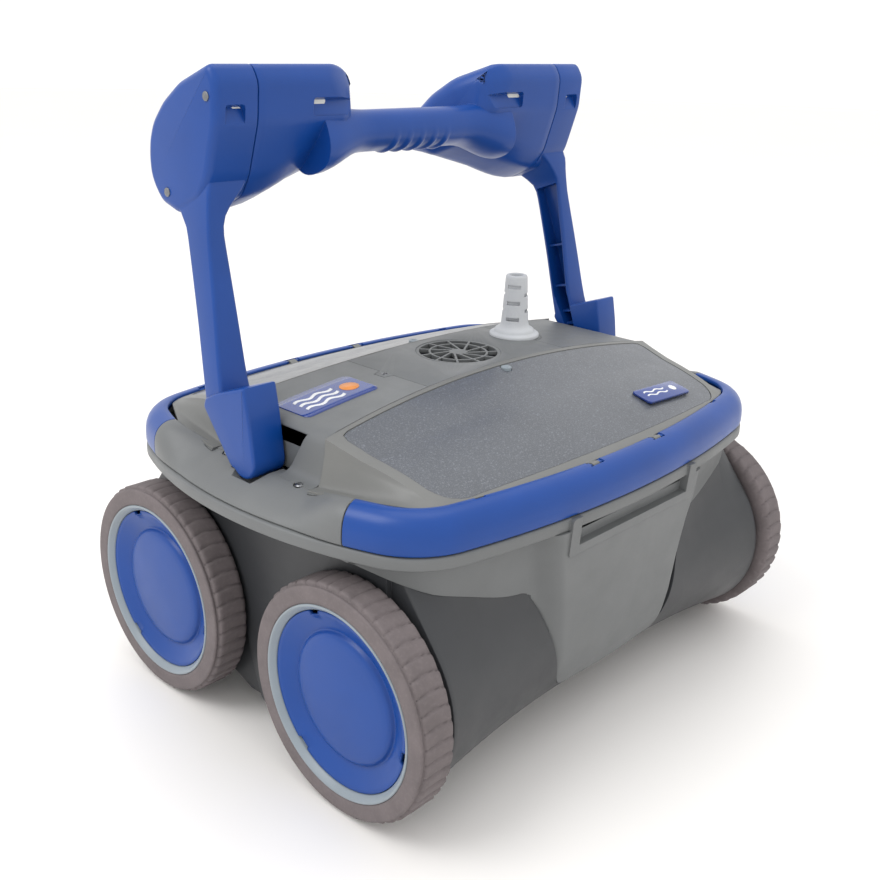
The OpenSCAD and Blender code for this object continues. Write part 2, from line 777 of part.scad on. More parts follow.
module axle(sy) {
  color("#9a9ea3") rod_x(-tyre_in - 13.6, tyre_in + 13.6, axle_d / 2, sy * axle_y, wheel_r);
  color("#2f3033") difference() {
    rod_x(belt_x - belt_w / 2 - 2, belt_x + belt_w / 2 + 2, pulley_r + 3, sy * axle_y, wheel_r);
    difference() {
      rod_x(belt_x - belt_w / 2 - 0.5, belt_x + belt_w / 2 + 0.5, pulley_r + 4, sy * axle_y, wheel_r);
      rod_x(belt_x - belt_w, belt_x + belt_w, pulley_r, sy * axle_y, wheel_r);
    }
  }
}
module axle_bushes() {
  color("#d8d8d0") for (sx = [-1, 1]) for (sy = [-1, 1]) mirror([sx < 0 ? 1 : 0, 0, 0]) difference() {
    union() {
      rod_x(barrel_end - 10, barrel_end, bush_r, sy * axle_y, wheel_r);
      rod_x(barrel_end, barrel_end + 2.5, bush_r + 3, sy * axle_y, wheel_r);
    }
    rod_x(barrel_end - 11, barrel_end + 4, axle_d / 2 + bush_gap, sy * axle_y, wheel_r);
  }
}

// ---- Drive, pump and electronics ----
module belt_loop(r) {
  hull() {
    for (sy = [-1, 1]) translate([sy * axle_y, wheel_r]) circle(r = r, $fn = 48);
    translate([0, drive_z]) circle(r = r, $fn = 48);
  }
}
module drive_belt() {
  color("#1d1e20") along_x(belt_x - belt_w / 2, belt_x + belt_w / 2) difference() {
    belt_loop(pulley_r + 0.3 + belt_t);
    belt_loop(pulley_r + 0.3);
  }
}
module drive_shaft() {
  color("#9a9ea3") rod_x(72.4, belt_x + 12, shaft_r, 0, drive_z);
  color("#2f3033") difference() {
    rod_x(belt_x - belt_w / 2 - 2, belt_x + belt_w / 2 + 2, pulley_r + 2, 0, drive_z);
    difference() {
      rod_x(belt_x - belt_w / 2 - 0.5, belt_x + belt_w / 2 + 0.5, pulley_r + 4, 0, drive_z);
      rod_x(belt_x - belt_w, belt_x + belt_w, pulley_r, 0, drive_z);
    }
  }
}
module motor_box() {
  color("#2f3033") difference() {
    translate([-box_x, -box_y, box_z]) cube([2 * box_x, 2 * box_y, box_h]);
    translate([-box_x + wall, -box_y + wall, box_z + wall]) cube([2 * (box_x - wall), 2 * (box_y - wall), box_h]);
    rod_x(box_x - 10, box_x + 5, shaft_r + bush_gap, 0, drive_z);
  }
  color("#2f3033") translate([-box_x + 10, -14, floor_z]) cube([2 * box_x - 20, 28, box_z - floor_z]);
}
module motor_box_seal() {
  color("#1d1e20") translate([0, 0, box_z + box_h]) linear_extrude(1.5) difference() {
    square([2 * box_x, 2 * box_y], center = true);
    square([2 * box_x - 2 * wall, 2 * box_y - 2 * wall], center = true);
  }
}
module motor_box_lid() {
  color("#2f3033") difference() {
    translate([-box_x, -box_y, box_z + box_h + 1.5]) cube([2 * box_x, 2 * box_y, 4]);
    translate([0, 0, box_z + box_h - 5]) cylinder(r = shaft_r + bush_gap, h = 20);
  }
}
pump_h = 84;
pump_nose = 6;
pump_nose_r = 9;
module pump_motor() {
  color("#74777b") {
    translate([0, 0, box_z + wall]) cylinder(r = pump_r, h = pump_h);
    translate([0, 0, box_z + wall + pump_h]) cylinder(r = pump_nose_r, h = pump_nose);
  }
}
blades = 5;
blade_pitch = 38;
blade_span = 20;
blade_t = 2;
hub_r = 9;
module impeller() {
  z0 = box_z + wall + pump_h + pump_nose + 0.4;
  color("#3b6fb5") {
    translate([0, 0, z0]) cylinder(r = shaft_r, h = 82);
    translate([0, 0, z0 + 44]) cylinder(r1 = hub_r, r2 = hub_r - 2, h = 22);
    for (i = [0:blades - 1]) rotate([0, 0, i * 360 / blades])
      translate([hub_r - 3, 0, z0 + 47]) rotate([blade_pitch, 0, 0]) cube([blade_span, blade_t, 14]);
  }
}
motor_x0 = 31;
motor_x1 = 66;
motor_r = 16;
motor_nose_r = 7;
motor_stand = 12;
module drive_motor() {
  color("#74777b") {
    rod_x(motor_x0, motor_x1, motor_r, 0, drive_z);
    rod_x(motor_x1, motor_x1 + 6, motor_nose_r, 0, drive_z);
    translate([motor_x0, -motor_stand, box_z + wall])
      cube([motor_x1 - motor_x0, 2 * motor_stand, drive_z - box_z - wall - motor_stand]);
  }
}
module control_board() {
  color("#2e6b43") translate([wall - box_x + 5, -30, box_z + wall + 4]) cube([1.6, 60, 90]);
  color("#2f3033") for (z = [20, 44, 70]) translate([wall - box_x + 6.6, -20, box_z + z]) cube([7, 18, 14]);
  color("#74777b") translate([wall - box_x, -30, box_z + wall]) cube([14, 60, 4]);
}
module filter() {
  pleats = 22;
  x0 = -132;
  step = 12;
  color("#dcdcd6") difference() {
    union() {
      translate([x0, -140, 160]) cube([264, 92, 5]);
      translate([x0, -140, 96]) cube([264, 92, 4]);
      for (i = [0:pleats - 1]) translate([x0 + i * step + 2, -134, 99]) cube([4, 80, 62]);
    }
    translate([x0 + 30, -125, 159]) cube([204, 62, 10]);
  }
}
module front_filter() filter();
module rear_filter() mirror([0, 1, 0]) filter();
flap_x = 84;
flap_near = 38;
flap_far = 66;
flap_t = 2;
module flap() {
  color("#2f3033") {
    translate([-flap_x, -flap_far, floor_z + 0.3]) cube([2 * flap_x, flap_far - flap_near, flap_t]);
    rod_x(-flap_x, flap_x, flap_t, -flap_near, floor_z + 0.3 + flap_t);
  }
}
module front_flap() flap();
module rear_flap() mirror([0, 1, 0]) flap();

lower_hull();
upper_hull();
front_bumper();
rear_bumper();
ridge_centre();
ridge_left();
ridge_right();
outlet_grille();
outlet_duct();
cable_boot();
ridge_screw();
rim_screws();
shoulder_badge();
motor_box();
motor_box_lid();
motor_box_seal();
pump_motor();
drive_motor();
control_board();
front_filter();
rear_filter();
axle_bushes();
handle_pins();
drive_belt();
front_door_frame();
front_window();
front_plate();
front_latch();
front_door_pins();
rear_door_frame();
rear_window();
rear_latch();
rear_door_pins();
left_arm();
right_arm();
grip();
left_float();
right_float();
handle_screws();
axle(-1);  // front_axle
tyre(-1, -1);  // front_left_tyre
wheel_rim(-1, -1);  // front_left_rim
wheel_cover(-1, -1);  // front_left_cover
tyre(1, -1);  // front_right_tyre
wheel_rim(1, -1);  // front_right_rim
wheel_cover(1, -1);  // front_right_cover
axle(1);  // rear_axle
tyre(-1, 1);  // rear_left_tyre
wheel_rim(-1, 1);  // rear_left_rim
wheel_cover(-1, 1);  // rear_left_cover
tyre(1, 1);  // rear_right_tyre
wheel_rim(1, 1);  // rear_right_rim
wheel_cover(1, 1);  // rear_right_cover
drive_shaft();
impeller();
front_flap();
rear_flap();
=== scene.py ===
"""Looks of the pool cleaner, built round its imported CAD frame.

Lengths are in millimetres until mesh() scales them.
"""

import json
from math import acos, asin, atan2, copysign, cos, hypot, pi, radians, floor as round_down, sin, sqrt

import bmesh
import bpy
from mathutils import Euler, Matrix, Vector


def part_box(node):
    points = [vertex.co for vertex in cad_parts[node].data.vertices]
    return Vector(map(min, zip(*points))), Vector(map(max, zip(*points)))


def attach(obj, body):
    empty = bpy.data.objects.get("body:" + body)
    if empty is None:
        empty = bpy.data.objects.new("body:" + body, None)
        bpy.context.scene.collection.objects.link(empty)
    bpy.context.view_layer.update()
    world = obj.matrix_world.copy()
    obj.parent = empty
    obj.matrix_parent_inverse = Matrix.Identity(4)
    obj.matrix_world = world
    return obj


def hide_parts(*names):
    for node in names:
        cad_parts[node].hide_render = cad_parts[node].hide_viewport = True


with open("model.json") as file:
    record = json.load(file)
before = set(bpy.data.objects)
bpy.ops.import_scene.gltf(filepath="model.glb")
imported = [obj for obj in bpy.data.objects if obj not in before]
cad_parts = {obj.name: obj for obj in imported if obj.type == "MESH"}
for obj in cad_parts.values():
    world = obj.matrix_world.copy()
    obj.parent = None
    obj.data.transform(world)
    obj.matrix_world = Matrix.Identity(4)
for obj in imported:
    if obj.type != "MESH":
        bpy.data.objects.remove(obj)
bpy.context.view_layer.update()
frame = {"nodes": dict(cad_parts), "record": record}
NODES = frame["nodes"]
MM = 0.001


# ---- Sizes from the frame --------
def box_mm(node):
    lo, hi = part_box(node)
    return lo / MM, hi / MM


hull_hi = box_mm("upper_hull")[1]
tyre_lo, tyre_hi = box_mm("front_right_tyre")
HALF_W = hull_hi.x
HALF_L = -box_mm("front_bumper")[0].y
RIM_Z = box_mm("front_bumper")[0].z - 9
DECK_Z = box_mm("ridge_centre")[1].z
TYRE_IN, TYRE_OUT = tyre_lo.x, tyre_hi.x
WHEEL_R = tyre_hi.z / 2
AXLE_Y = -(tyre_lo.y + tyre_hi.y) / 2
PIVOT = Vector((0, 3.5, RIM_Z + 31.5))
LEAN = radians(20.2)


# ---- Materials --------
class Graph:
    """Short names for the shader nodes that every material here uses."""

    def __init__(self, name):
        self.material = bpy.data.materials.new(name)
        self.material.use_nodes = True
        self.tree = self.material.node_tree
        self.shader = self.tree.nodes["Principled BSDF"]
        self.coords = self.tree.nodes.new("ShaderNodeTexCoord").outputs["Object"]

    def link(self, a, b):
        self.tree.links.new(a, b)

    def noise(self, scale, detail=4.0, rough=0.55, stretch=None):
        n = self.tree.nodes.new("ShaderNodeTexNoise")
        n.inputs["Scale"].default_value = scale
        n.inputs["Detail"].default_value = detail
        n.inputs["Roughness"].default_value = rough
        source = self.coords
        if stretch:
            m = self.tree.nodes.new("ShaderNodeMapping")
            m.inputs["Scale"].default_value = stretch
            self.link(self.coords, m.inputs["Vector"])
            source = m.outputs["Vector"]
        self.link(source, n.inputs["Vector"])
        return n.outputs["Fac"]

    def ramp(self, fac, stops):
        r = self.tree.nodes.new("ShaderNodeValToRGB")
        points = r.color_ramp.elements
        while len(points) < len(stops):
            points.new(0.5)
        for point, (at, value) in zip(points, stops):
            point.position = at
            point.color = (*value, 1) if isinstance(value, tuple) else (value, value, value, 1)
        self.link(fac, r.inputs["Fac"])
        return r.outputs["Color"]

    def mix(self, fac, a, b, kind="MIX"):
        m = self.tree.nodes.new("ShaderNodeMix")
        m.data_type = "RGBA"
        m.blend_type = kind
        for socket, value in ((m.inputs["Factor"], fac), (m.inputs["A"], a), (m.inputs["B"], b)):
            if isinstance(value, bpy.types.NodeSocket):
                self.link(value, socket)
            elif isinstance(value, tuple):
                socket.default_value = (*value, 1)
            else:
                socket.default_value = value
        return m.outputs["Result"]

    def bump(self, height, strength, distance, normal=None):
        b = self.tree.nodes.new("ShaderNodeBump")
        b.inputs["Strength"].default_value = strength
        b.inputs["Distance"].default_value = distance
        self.link(height, b.inputs["Height"])
        if normal:
            self.link(normal, b.inputs["Normal"])
        return b.outputs["Normal"]

    def edges(self, radius):
        """How far a point's rounded normal turns from its true one: 1 on a sharp edge, 0 on a flat."""
        bevel = self.tree.nodes.new("ShaderNodeBevel")
        bevel.samples = 4
        bevel.inputs["Radius"].default_value = radius
        geometry = self.tree.nodes.new("ShaderNodeNewGeometry")
        dot = self.tree.nodes.new("ShaderNodeVectorMath")
        dot.operation = "DOT_PRODUCT"
        self.link(bevel.outputs["Normal"], dot.inputs[0])
        self.link(geometry.outputs["Normal"], dot.inputs[1])
        return bevel.outputs["Normal"], self.ramp(dot.outputs["Value"], [(0.72, 1.0), (0.985, 0.0)])


def tint(color, k):
    return tuple(min(1.0, c * k) for c in color)


def plastic(name, color, rough=0.4, grain=0.25, grain_size=0.9, edge=1.35, coat=0.0, mottle=0.06, spec=0.5,
        edge_highlight_peak=0.5):
    """Moulded plastic: a faint mottle, a fine spark-eroded grain, softly rounded edges with a patchy painted
    highlight along them.
    """
    g = Graph(name)
    broad = g.noise(22.0, 3.0)
    fine = g.noise(1000.0 / grain_size, 2.0, 0.6)
    normal, edge_mask = g.edges(0.0007)
    base = g.mix(g.ramp(broad, [(0.3, 0.0), (0.7, 1.0)]), tint(color, 1 - mottle), tint(color, 1 + mottle))
    base = g.mix(g.ramp(fine, [(0.35, 0.0), (0.65, 0.12)]), base, tint(color, 1.25))
    # Painted highlight: sharp edges are lightened towards tint(color, edge), patchily through a noise.
    edge_highlight_mask = g.mix(edge_mask, (0.0, 0.0, 0.0), g.ramp(g.noise(160.0, 3.0), [(0.4, 0.15), (0.75, edge_highlight_peak)]))
    base = g.mix(edge_highlight_mask, base, tint(color, edge))
    g.link(base, g.shader.inputs["Base Color"])
    smear = g.noise(48.0, 5.0, 0.65)
    g.link(g.ramp(smear, [(0.25, rough * 0.86), (0.75, rough * 1.16)]), g.shader.inputs["Roughness"])
    g.link(g.bump(fine, grain, 0.00012, normal), g.shader.inputs["Normal"])
    g.shader.inputs["Specular IOR Level"].default_value = spec
    g.shader.inputs["Coat Weight"].default_value = coat
    g.shader.inputs["Coat Roughness"].default_value = 0.12
    return g.material


def rubber(name, color, rough=0.72):
    """Tyre rubber: pale dust flecks and a soft cloudy bloom, with a painted highlight on its edges."""
    g = Graph(name)
    cloud = g.noise(60.0, 6.0, 0.6)
    dust = g.noise(420.0, 3.0)
    normal, edge_mask = g.edges(0.0008)
    base = g.mix(g.ramp(cloud, [(0.3, 0.0), (0.7, 1.0)]), tint(color, 0.86), tint(color, 1.14))
    base = g.mix(g.ramp(dust, [(0.5, 0.0), (0.8, 0.35)]), base, tint(color, 1.5))
    # Painted highlight: the edges are lightened towards a paler rubber.
    base = g.mix(g.mix(edge_mask, (0.0, 0.0, 0.0), (0.4, 0.4, 0.4)), base, tint(color, 1.6))
    g.link(base, g.shader.inputs["Base Color"])
    g.link(g.ramp(cloud, [(0.2, rough * 0.88), (0.8, min(1.0, rough * 1.15))]), g.shader.inputs["Roughness"])
    g.link(g.bump(dust, 0.35, 0.0002, normal), g.shader.inputs["Normal"])
    g.shader.inputs["Specular IOR Level"].default_value = 0.35
    return g.material


def metal(name, color, rough=0.3, along=(1.0, 40.0, 40.0)):
    """Turned or drawn metal with fine lines, and a painted highlight on its edges."""
    g = Graph(name)
    lines = g.noise(90.0, 4.0, 0.7, along)
    stain = g.noise(70.0, 4.0)
    normal, edge_mask = g.edges(0.0003)
    base = g.mix(g.ramp(stain, [(0.35, 0.0), (0.7, 1.0)]), tint(color, 0.82), tint(color, 1.1))
    # Painted highlight: the edges are lightened.
    g.link(g.mix(edge_mask, base, tint(color, 1.4)), g.shader.inputs["Base Color"])
    g.link(g.ramp(lines, [(0.25, rough * 0.75), (0.75, rough * 1.3)]), g.shader.inputs["Roughness"])
    g.link(g.bump(lines, 0.2, 0.00006, normal), g.shader.inputs["Normal"])
    g.shader.inputs["Metallic"].default_value = 1.0
    return g.material


def smoked(name, color):
    """Smoked, speckled window plastic: a deep glossy sheet full of pale flecks, with a painted highlight on
    its edges.
    """
    g = Graph(name)
    flecks = g.noise(1500.0, 1.0, 0.4)
    larger = g.noise(700.0, 1.0, 0.4)
    cloud = g.noise(16.0, 3.0)
    normal, edge_mask = g.edges(0.0006)
    base = g.mix(g.ramp(cloud, [(0.3, 0.0), (0.7, 1.0)]), tint(color, 0.92), tint(color, 1.08))
    base = g.mix(g.ramp(flecks, [(0.52, 0.0), (0.66, 0.55)]), base, tint(color, 2.0))
    base = g.mix(g.ramp(larger, [(0.6, 0.0), (0.72, 0.45)]), base, tint(color, 2.6))
    # Painted highlight: the edges are lightened.
    base = g.mix(g.mix(edge_mask, (0.0, 0.0, 0.0), (0.35, 0.35, 0.35)), base, tint(color, 1.6))
    g.link(base, g.shader.inputs["Base Color"])
    g.link(g.ramp(g.noise(90.0, 5.0), [(0.3, 0.3), (0.7, 0.38)]), g.shader.inputs["Roughness"])
    g.link(g.bump(flecks, 0.08, 0.0001, normal), g.shader.inputs["Normal"])
    g.shader.inputs["Coat Weight"].default_value = 0.18
    g.shader.inputs["Coat Roughness"].default_value = 0.1
    return g.material


BLUE = (0.004, 0.052, 0.265)
GREY = (0.140, 0.146, 0.148)
PALE = (0.160, 0.162, 0.156)
DARK = (0.034, 0.036, 0.040)
RING = (0.25, 0.29, 0.32)

# The fourth number after each colour (edge) sets how much lighter the painted edge highlight is.
MATERIALS = {
    "blue_plastic": plastic("blue_plastic", BLUE, 0.32, 0.18, 0.8, 1.4, 0.0, spec=0.38),
    "grey_plastic": plastic("grey_plastic", GREY, 0.46, 0.35, 0.7, 1.3),
    "pale_plastic": plastic("pale_plastic", PALE, 0.42, 0.3, 0.7, 1.3),
    "dark_plastic": plastic("dark_plastic", DARK, 0.42, 0.4, 1.0, 1.9),
    "window_plastic": smoked("window_plastic", (0.085, 0.092, 0.105)),
    "badge_blue": plastic("badge_blue", (0.010, 0.038, 0.22), 0.24, 0.05, 0.8, 1.8, 0.5),
    "tyre_rubber": rubber("tyre_rubber", (0.150, 0.128, 0.130)),
    "ring_plastic": plastic("ring_plastic", RING, 0.38, 0.2, 0.8, 1.15),
    "boot_rubber": plastic("boot_rubber", (0.50, 0.515, 0.535), 0.5, 0.25, 0.9, 1.1),
    "steel": metal("steel", (0.22, 0.225, 0.235)),
    "black_plastic": plastic("black_plastic", (0.022, 0.023, 0.026), 0.45, 0.4, 0.9, 2.2),
    "seal_rubber": rubber("seal_rubber", (0.014, 0.014, 0.015), 0.8),
    "motor_can": metal("motor_can", (0.22, 0.23, 0.24), 0.42),
    "board_green": plastic("board_green", (0.02, 0.11, 0.045), 0.3, 0.3, 1.5, 1.3),
    "filter_paper": plastic("filter_paper", (0.62, 0.62, 0.57), 0.85, 0.8, 0.5, 1.1, mottle=0.1),
    "bush_plastic": plastic("bush_plastic", (0.60, 0.60, 0.56), 0.4, 0.1, 0.8, 1.05),
    "impeller_plastic": plastic("impeller_plastic", (0.035, 0.13, 0.36), 0.35, 0.15, 0.8, 1.4),
    "foam": plastic("foam", (0.66, 0.66, 0.62), 0.9, 1.0, 1.6, 1.1, mottle=0.12),
}


def paint(obj, material):
    obj.data.materials.clear()
    obj.data.materials.append(material)


def soften(obj, width, segments=2, angle=32, weld=False):
    """Rounds the sharp edges of a piece with a real bevel, and shades it smooth between them."""
    if weld:
        join = obj.modifiers.new("weld", "WELD")
        join.merge_threshold = 0.00001
        flats = obj.modifiers.new("flats", "DECIMATE")
        flats.decimate_type = "DISSOLVE"
        flats.angle_limit = radians(1.5)
    bevel = obj.modifiers.new("bevel", "BEVEL")
    bevel.width = width * MM
    bevel.segments = segments
    bevel.limit_method = "ANGLE"
    bevel.angle_limit = radians(angle)
    bevel.miter_outer = "MITER_ARC"
    bevel.harden_normals = True


ROUNDING = {"grey_plastic": 0.7, "pale_plastic": 0.5, "dark_plastic": 1.0, "blue_plastic": 0.8,
        "ring_plastic": 0.4,
            "black_plastic": 0.8, "boot_rubber": 0.5, "motor_can": 0.6, "filter_paper": 0.3, "foam": 1.5,
            "bush_plastic": 0.4, "steel": 0.25, "badge_blue": 0.3, "window_plastic": 0.4}
# Nodes that stay unbevelled, because their thin bars meet closer than a bevel is wide
INTRICATE = ("outlet_grille", "control_board", "impeller")


def dress_cad_nodes():
    for row in frame["record"]["subparts"]:
        node = NODES[row["node"]]
        slot = row["material_slot"]
        paint(node, MATERIALS[slot])
        node.data.shade_smooth()
        if row["node"] not in INTRICATE:
            soften(node, ROUNDING.get(slot, 0.3), weld=True)


dress_cad_nodes()


# ---- Mesh tools --------
def mesh(name, verts, faces):
    """A closed mesh from points in millimetres."""
    data = bpy.data.meshes.new(name)
    data.from_pydata([Vector(v) * MM for v in verts], [], faces)
    bm = bmesh.new()
    bm.from_mesh(data)
    bmesh.ops.remove_doubles(bm, verts=bm.verts, dist=1e-6)
    bmesh.ops.dissolve_degenerate(bm, edges=bm.edges, dist=1e-6)
    bmesh.ops.recalc_face_normals(bm, faces=bm.faces)
    bm.to_mesh(data)
    bm.free()
    obj = bpy.data.objects.new(name, data)
    bpy.context.collection.objects.link(obj)
    return obj


def loft(name, rings, ring_loop=False):
    """Skin through rings of equal length, closed by end caps, or joined end to end as a loop."""
    n, count = len(rings[0]), len(rings)
    faces = [(i * n + j, i * n + (j + 1) % n, (i + 1) % count * n + (j + 1) % n, (i + 1) % count * n + j)
             for i in range(count if ring_loop else count - 1) for j in range(n)]
    if not ring_loop:
        faces += [tuple(range(n)), tuple(range((count - 1) * n, count * n))]
    return mesh(name, [p for ring in rings for p in ring], faces)


def sheet_solid(name, top, bottom):
    """Closed solid between two grids of points of the same size."""
    rows, cols = len(top), len(top[0])
    size = rows * cols
    at = lambda i, j: i * cols + j
    faces = []
    for i in range(rows - 1):
        for j in range(cols - 1):
            quad = (at(i, j), at(i, j + 1), at(i + 1, j + 1), at(i + 1, j))
            faces += [quad, tuple(size + k for k in reversed(quad))]
    rim = ([(at(0, j), at(0, j + 1)) for j in range(cols - 1)]
            + [(at(rows - 1, j + 1), at(rows - 1, j)) for j in range(cols - 1)]
           + [(at(i + 1, 0), at(i, 0)) for i in range(rows - 1)]
           + [(at(i, cols - 1), at(i + 1, cols - 1)) for i in range(rows - 1)])
    faces += [(b, a, size + a, size + b) for a, b in rim]
    return mesh(name, [p for row in top for p in row] + [p for row in bottom for p in row], faces)


def prism_x(name, profile, x0, x1):
    return loft(name, [[(x, y, z) for y, z in profile] for x in (x0, x1)])


def prism_z(name, profile, z0, z1):
    return loft(name, [[(x, y, z) for x, y in profile] for z in (z0, z1)])


def box(name, lo, hi):
    return prism_z(name, [(lo[0], lo[1]), (hi[0], lo[1]), (hi[0], hi[1]), (lo[0], hi[1])], lo[2], hi[2])


def tube_x(name, x0, x1, r, y, z, n=48):
    return prism_x(name, [(y + r * cos(2 * pi * i / n), z + r * sin(2 * pi * i / n)) for i in range(n)], x0,
            x1)


def drop(obj):
    data = obj.data
    bpy.data.objects.remove(obj)
    bpy.data.meshes.remove(data)


def settle(obj):
    """Applies a piece's modifiers to its mesh."""
    graph = bpy.context.evaluated_depsgraph_get()
    graph.update()
    made = bpy.data.meshes.new_from_object(obj.evaluated_get(graph))
    old = obj.data
    obj.modifiers.clear()
    obj.data = made
    bpy.data.meshes.remove(old)
    return obj


def carve(obj, *cutters, kind="DIFFERENCE", solver="EXACT"):
    """Cuts, joins or intersects a piece with each cutter in turn, and uses the cutters up."""
    for cutter in cutters:
        cut = obj.modifiers.new("cut", "BOOLEAN")
        cut.operation = kind
        cut.solver = solver
        cut.object = cutter
        settle(obj)
        drop(cutter)
        if not obj.data.polygons:
            raise RuntimeError(f"{obj.name} is empty after a cut")
    return obj


def copy_mirrored(obj, axis, name):
    twin = bpy.data.objects.new(name, obj.data.copy())
    bpy.context.collection.objects.link(twin)
    bm = bmesh.new()
    bm.from_mesh(twin.data)
    for v in bm.verts:
        v.co[axis] = -v.co[axis]
    bmesh.ops.reverse_faces(bm, faces=bm.faces)
    bm.to_mesh(twin.data)
    bm.free()
    return twin


def merge(name, *objects):
    """One object out of several closed shells."""
    bm = bmesh.new()
    for obj in objects:
        bm.from_mesh(obj.data)
        drop(obj)
    data = bpy.data.meshes.new(name)
    bm.to_mesh(data)
    bm.free()
    whole = bpy.data.objects.new(name, data)
    bpy.context.collection.objects.link(whole)
    return whole


def place(obj, body, slot, *nodes, rounding=0.5, segments=2, angle=32, material=None):
    """Finishes a piece: its material, its rounded edges, its body and the nodes it stands for."""
    paint(obj, material or MATERIALS[slot])
    obj.data.shade_smooth()
    if rounding:
        soften(obj, rounding, segments, angle)
    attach(obj, body)
    if nodes:
        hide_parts(*nodes)
    return obj


def mix(a, b, t):
    return a + (b - a) * t


def smooth(a, b, x):
    t = max(0.0, min(1.0, (x - a) / (b - a)))
    return t * t * (3 - 2 * t)


def along(points, x):
    """Piecewise linear value through (x, value) points."""
    if x <= points[0][0]:
        return points[0][1]
    for (x0, v0), (x1, v1) in zip(points, points[1:]):
        if x <= x1:
            return mix(v0, v1, (x - x0) / (x1 - x0))
    return points[-1][1]


def rounded_polygon(points, radius, steps=4):
    """A closed polygon with its corners rounded."""
    out = []
    n = len(points)
    for i in range(n):
        p, a, b = (Vector(points[k % n]) for k in (i, i - 1, i + 1))
        u, v = (a - p), (b - p)
        cut = min(radius, u.length * 0.45, v.length * 0.45)
        start, end = p + u.normalized() * cut, p + v.normalized() * cut
        for k in range(steps + 1):
            t = k / steps
            out.append(tuple(start * (1 - t) ** 2 + p * 2 * t * (1 - t) + end * t * t))
    return out


def inset(points, d):
    """Moves a closed outline inwards by d, the outline running anticlockwise."""
    n = len(points)
    area = sum(points[i][0] * points[(i + 1) % n][1] - points[(i + 1) % n][0] * points[i][1]
            for i in range(n))
    side = 1 if area > 0 else -1
    out = []
    for i in range(n):
        a, p, b = (Vector(points[k % n]) for k in (i - 1, i, i + 1))
        e, f = (p - a), (b - p)
        if e.length < 1e-6 or f.length < 1e-6:
            e = f = b - a
        na, nb = Vector((-e.y, e.x)).normalized(), Vector((-f.y, f.x)).normalized()
        m = (na + nb)
        m = m / max(0.3, m.length_squared / 2)
        out.append(tuple(p + m * d * side))
    return out


# ---- Rim outline: side arc, corner arc and front arc, tangent to each other --------
SIDE_R, FRONT_R, CORNER_R = 343.0, 761.0, 56.0
SIDE_CX, FRONT_CY = HALF_W - SIDE_R, HALF_L - FRONT_R


def corner_centre():
    p, q = SIDE_R - CORNER_R, FRONT_R - CORNER_R
    a = (p * p - q * q - SIDE_CX ** 2 + FRONT_CY ** 2) / (-2 * SIDE_CX)
    b = FRONT_CY / SIDE_CX
    qa, qb, qc = b * b + 1, 2 * (a * b - FRONT_CY), a * a + FRONT_CY ** 2 - q * q
    cy = (-qb + sqrt(qb * qb - 4 * qa * qc)) / (2 * qa)
    return a + b * cy, cy


CORNER_CX, CORNER_CY = corner_centre()
SIDE_END = atan2(CORNER_CY, CORNER_CX - SIDE_CX)
FRONT_START = atan2(CORNER_CY - FRONT_CY, CORNER_CX)
BUMPER_Y = 100.0
BUMPER_END = asin(BUMPER_Y / SIDE_R)
BUMPER_Z = RIM_Z + 9
BUMPER_TOP = RIM_Z + 34.5
LEDGE_Z = RIM_Z + 24.5


def arc(cx, cy, r, a0, a1, n):
    """Points and outward directions along an arc."""
    out = []
    for i in range(n + 1):
        a = mix(a0, a1, i / n)
        out.append(((cx + r * cos(a), cy + r * sin(a)), (cos(a), sin(a))))
    return out


def quarter(start=0.0, side_n=10):
    rows = arc(SIDE_CX, 0, SIDE_R, start, SIDE_END, side_n)[:-1]
    rows += arc(CORNER_CX, CORNER_CY, CORNER_R, SIDE_END, FRONT_START, 18)
    return rows + arc(0, FRONT_CY, FRONT_R, FRONT_START, pi / 2, 26)[1:]


def half_outline(start=0.0, side_n=10):
    """From the right side over the rear to the left side."""
    right = quarter(start, side_n)
    return right + [((-p[0], p[1]), (-n[0], n[1])) for p, n in reversed(right[:-1])]


def full_outline():
    rear = half_outline()
    return rear + [((p[0], -p[1]), (n[0], -n[1])) for p, n in reversed(rear[1:-1])]


def front_y(x, d):
    """How far the outline, moved in by d, reaches to the front and rear at x."""
    x = abs(x)
    if x < CORNER_CX:
        return FRONT_CY + sqrt((FRONT_R - d) ** 2 - x * x)
    return CORNER_CY + sqrt(max(0.0, (CORNER_R - d) ** 2 - (x - CORNER_CX) ** 2))


def sweep(rows, section):
    """Rings of a section of (inset, height) points along the outline."""
    return [[(p[0] - n[0] * d, p[1] - n[1] * d, z) for d, z in section] for p, n in rows]


# ---- Wheels --------
def revolve(name, profile, n, sx, sy, radius=None):
    """Turns a profile of (x, r) round a wheel's axle; radius(x, r, turn) may change r point by point."""
    rings = []
    for i in range(n):
        turn = i / n
        a = 2 * pi * turn
        ring = []
        for x, r in profile:
            rr = radius(x, r, turn) if radius else r
            ring.append((sx * x, sy * AXLE_Y + rr * cos(a), WHEEL_R + rr * sin(a)))
        rings.append(ring)
    return loft(name, rings, ring_loop=True)


TREAD_RIBS = 47
RING_R = WHEEL_R - 14.4
CLIPS = (0.19, 0.53, 0.85)


def tread_radius(x, r, turn):
    """Scalloped cross ribs, bent across the tread."""
    across = (x - TYRE_IN) / (TYRE_OUT - TYRE_IN)
    if r < WHEEL_R - 1.9 or across > 0.9:
        return r
    phase = turn * TREAD_RIBS + 0.12 * sin(across * 4.2 - 0.5)
    u = phase - round_down(phase)
    rise = 1 - abs(2 * u - 1) ** 7
    return r - (1 - rise) * 1.9 - u * 0.9


def near_clip(turn, half):
    return any(abs((turn - c + 0.5) % 1.0 - 0.5) < half for c in CLIPS)


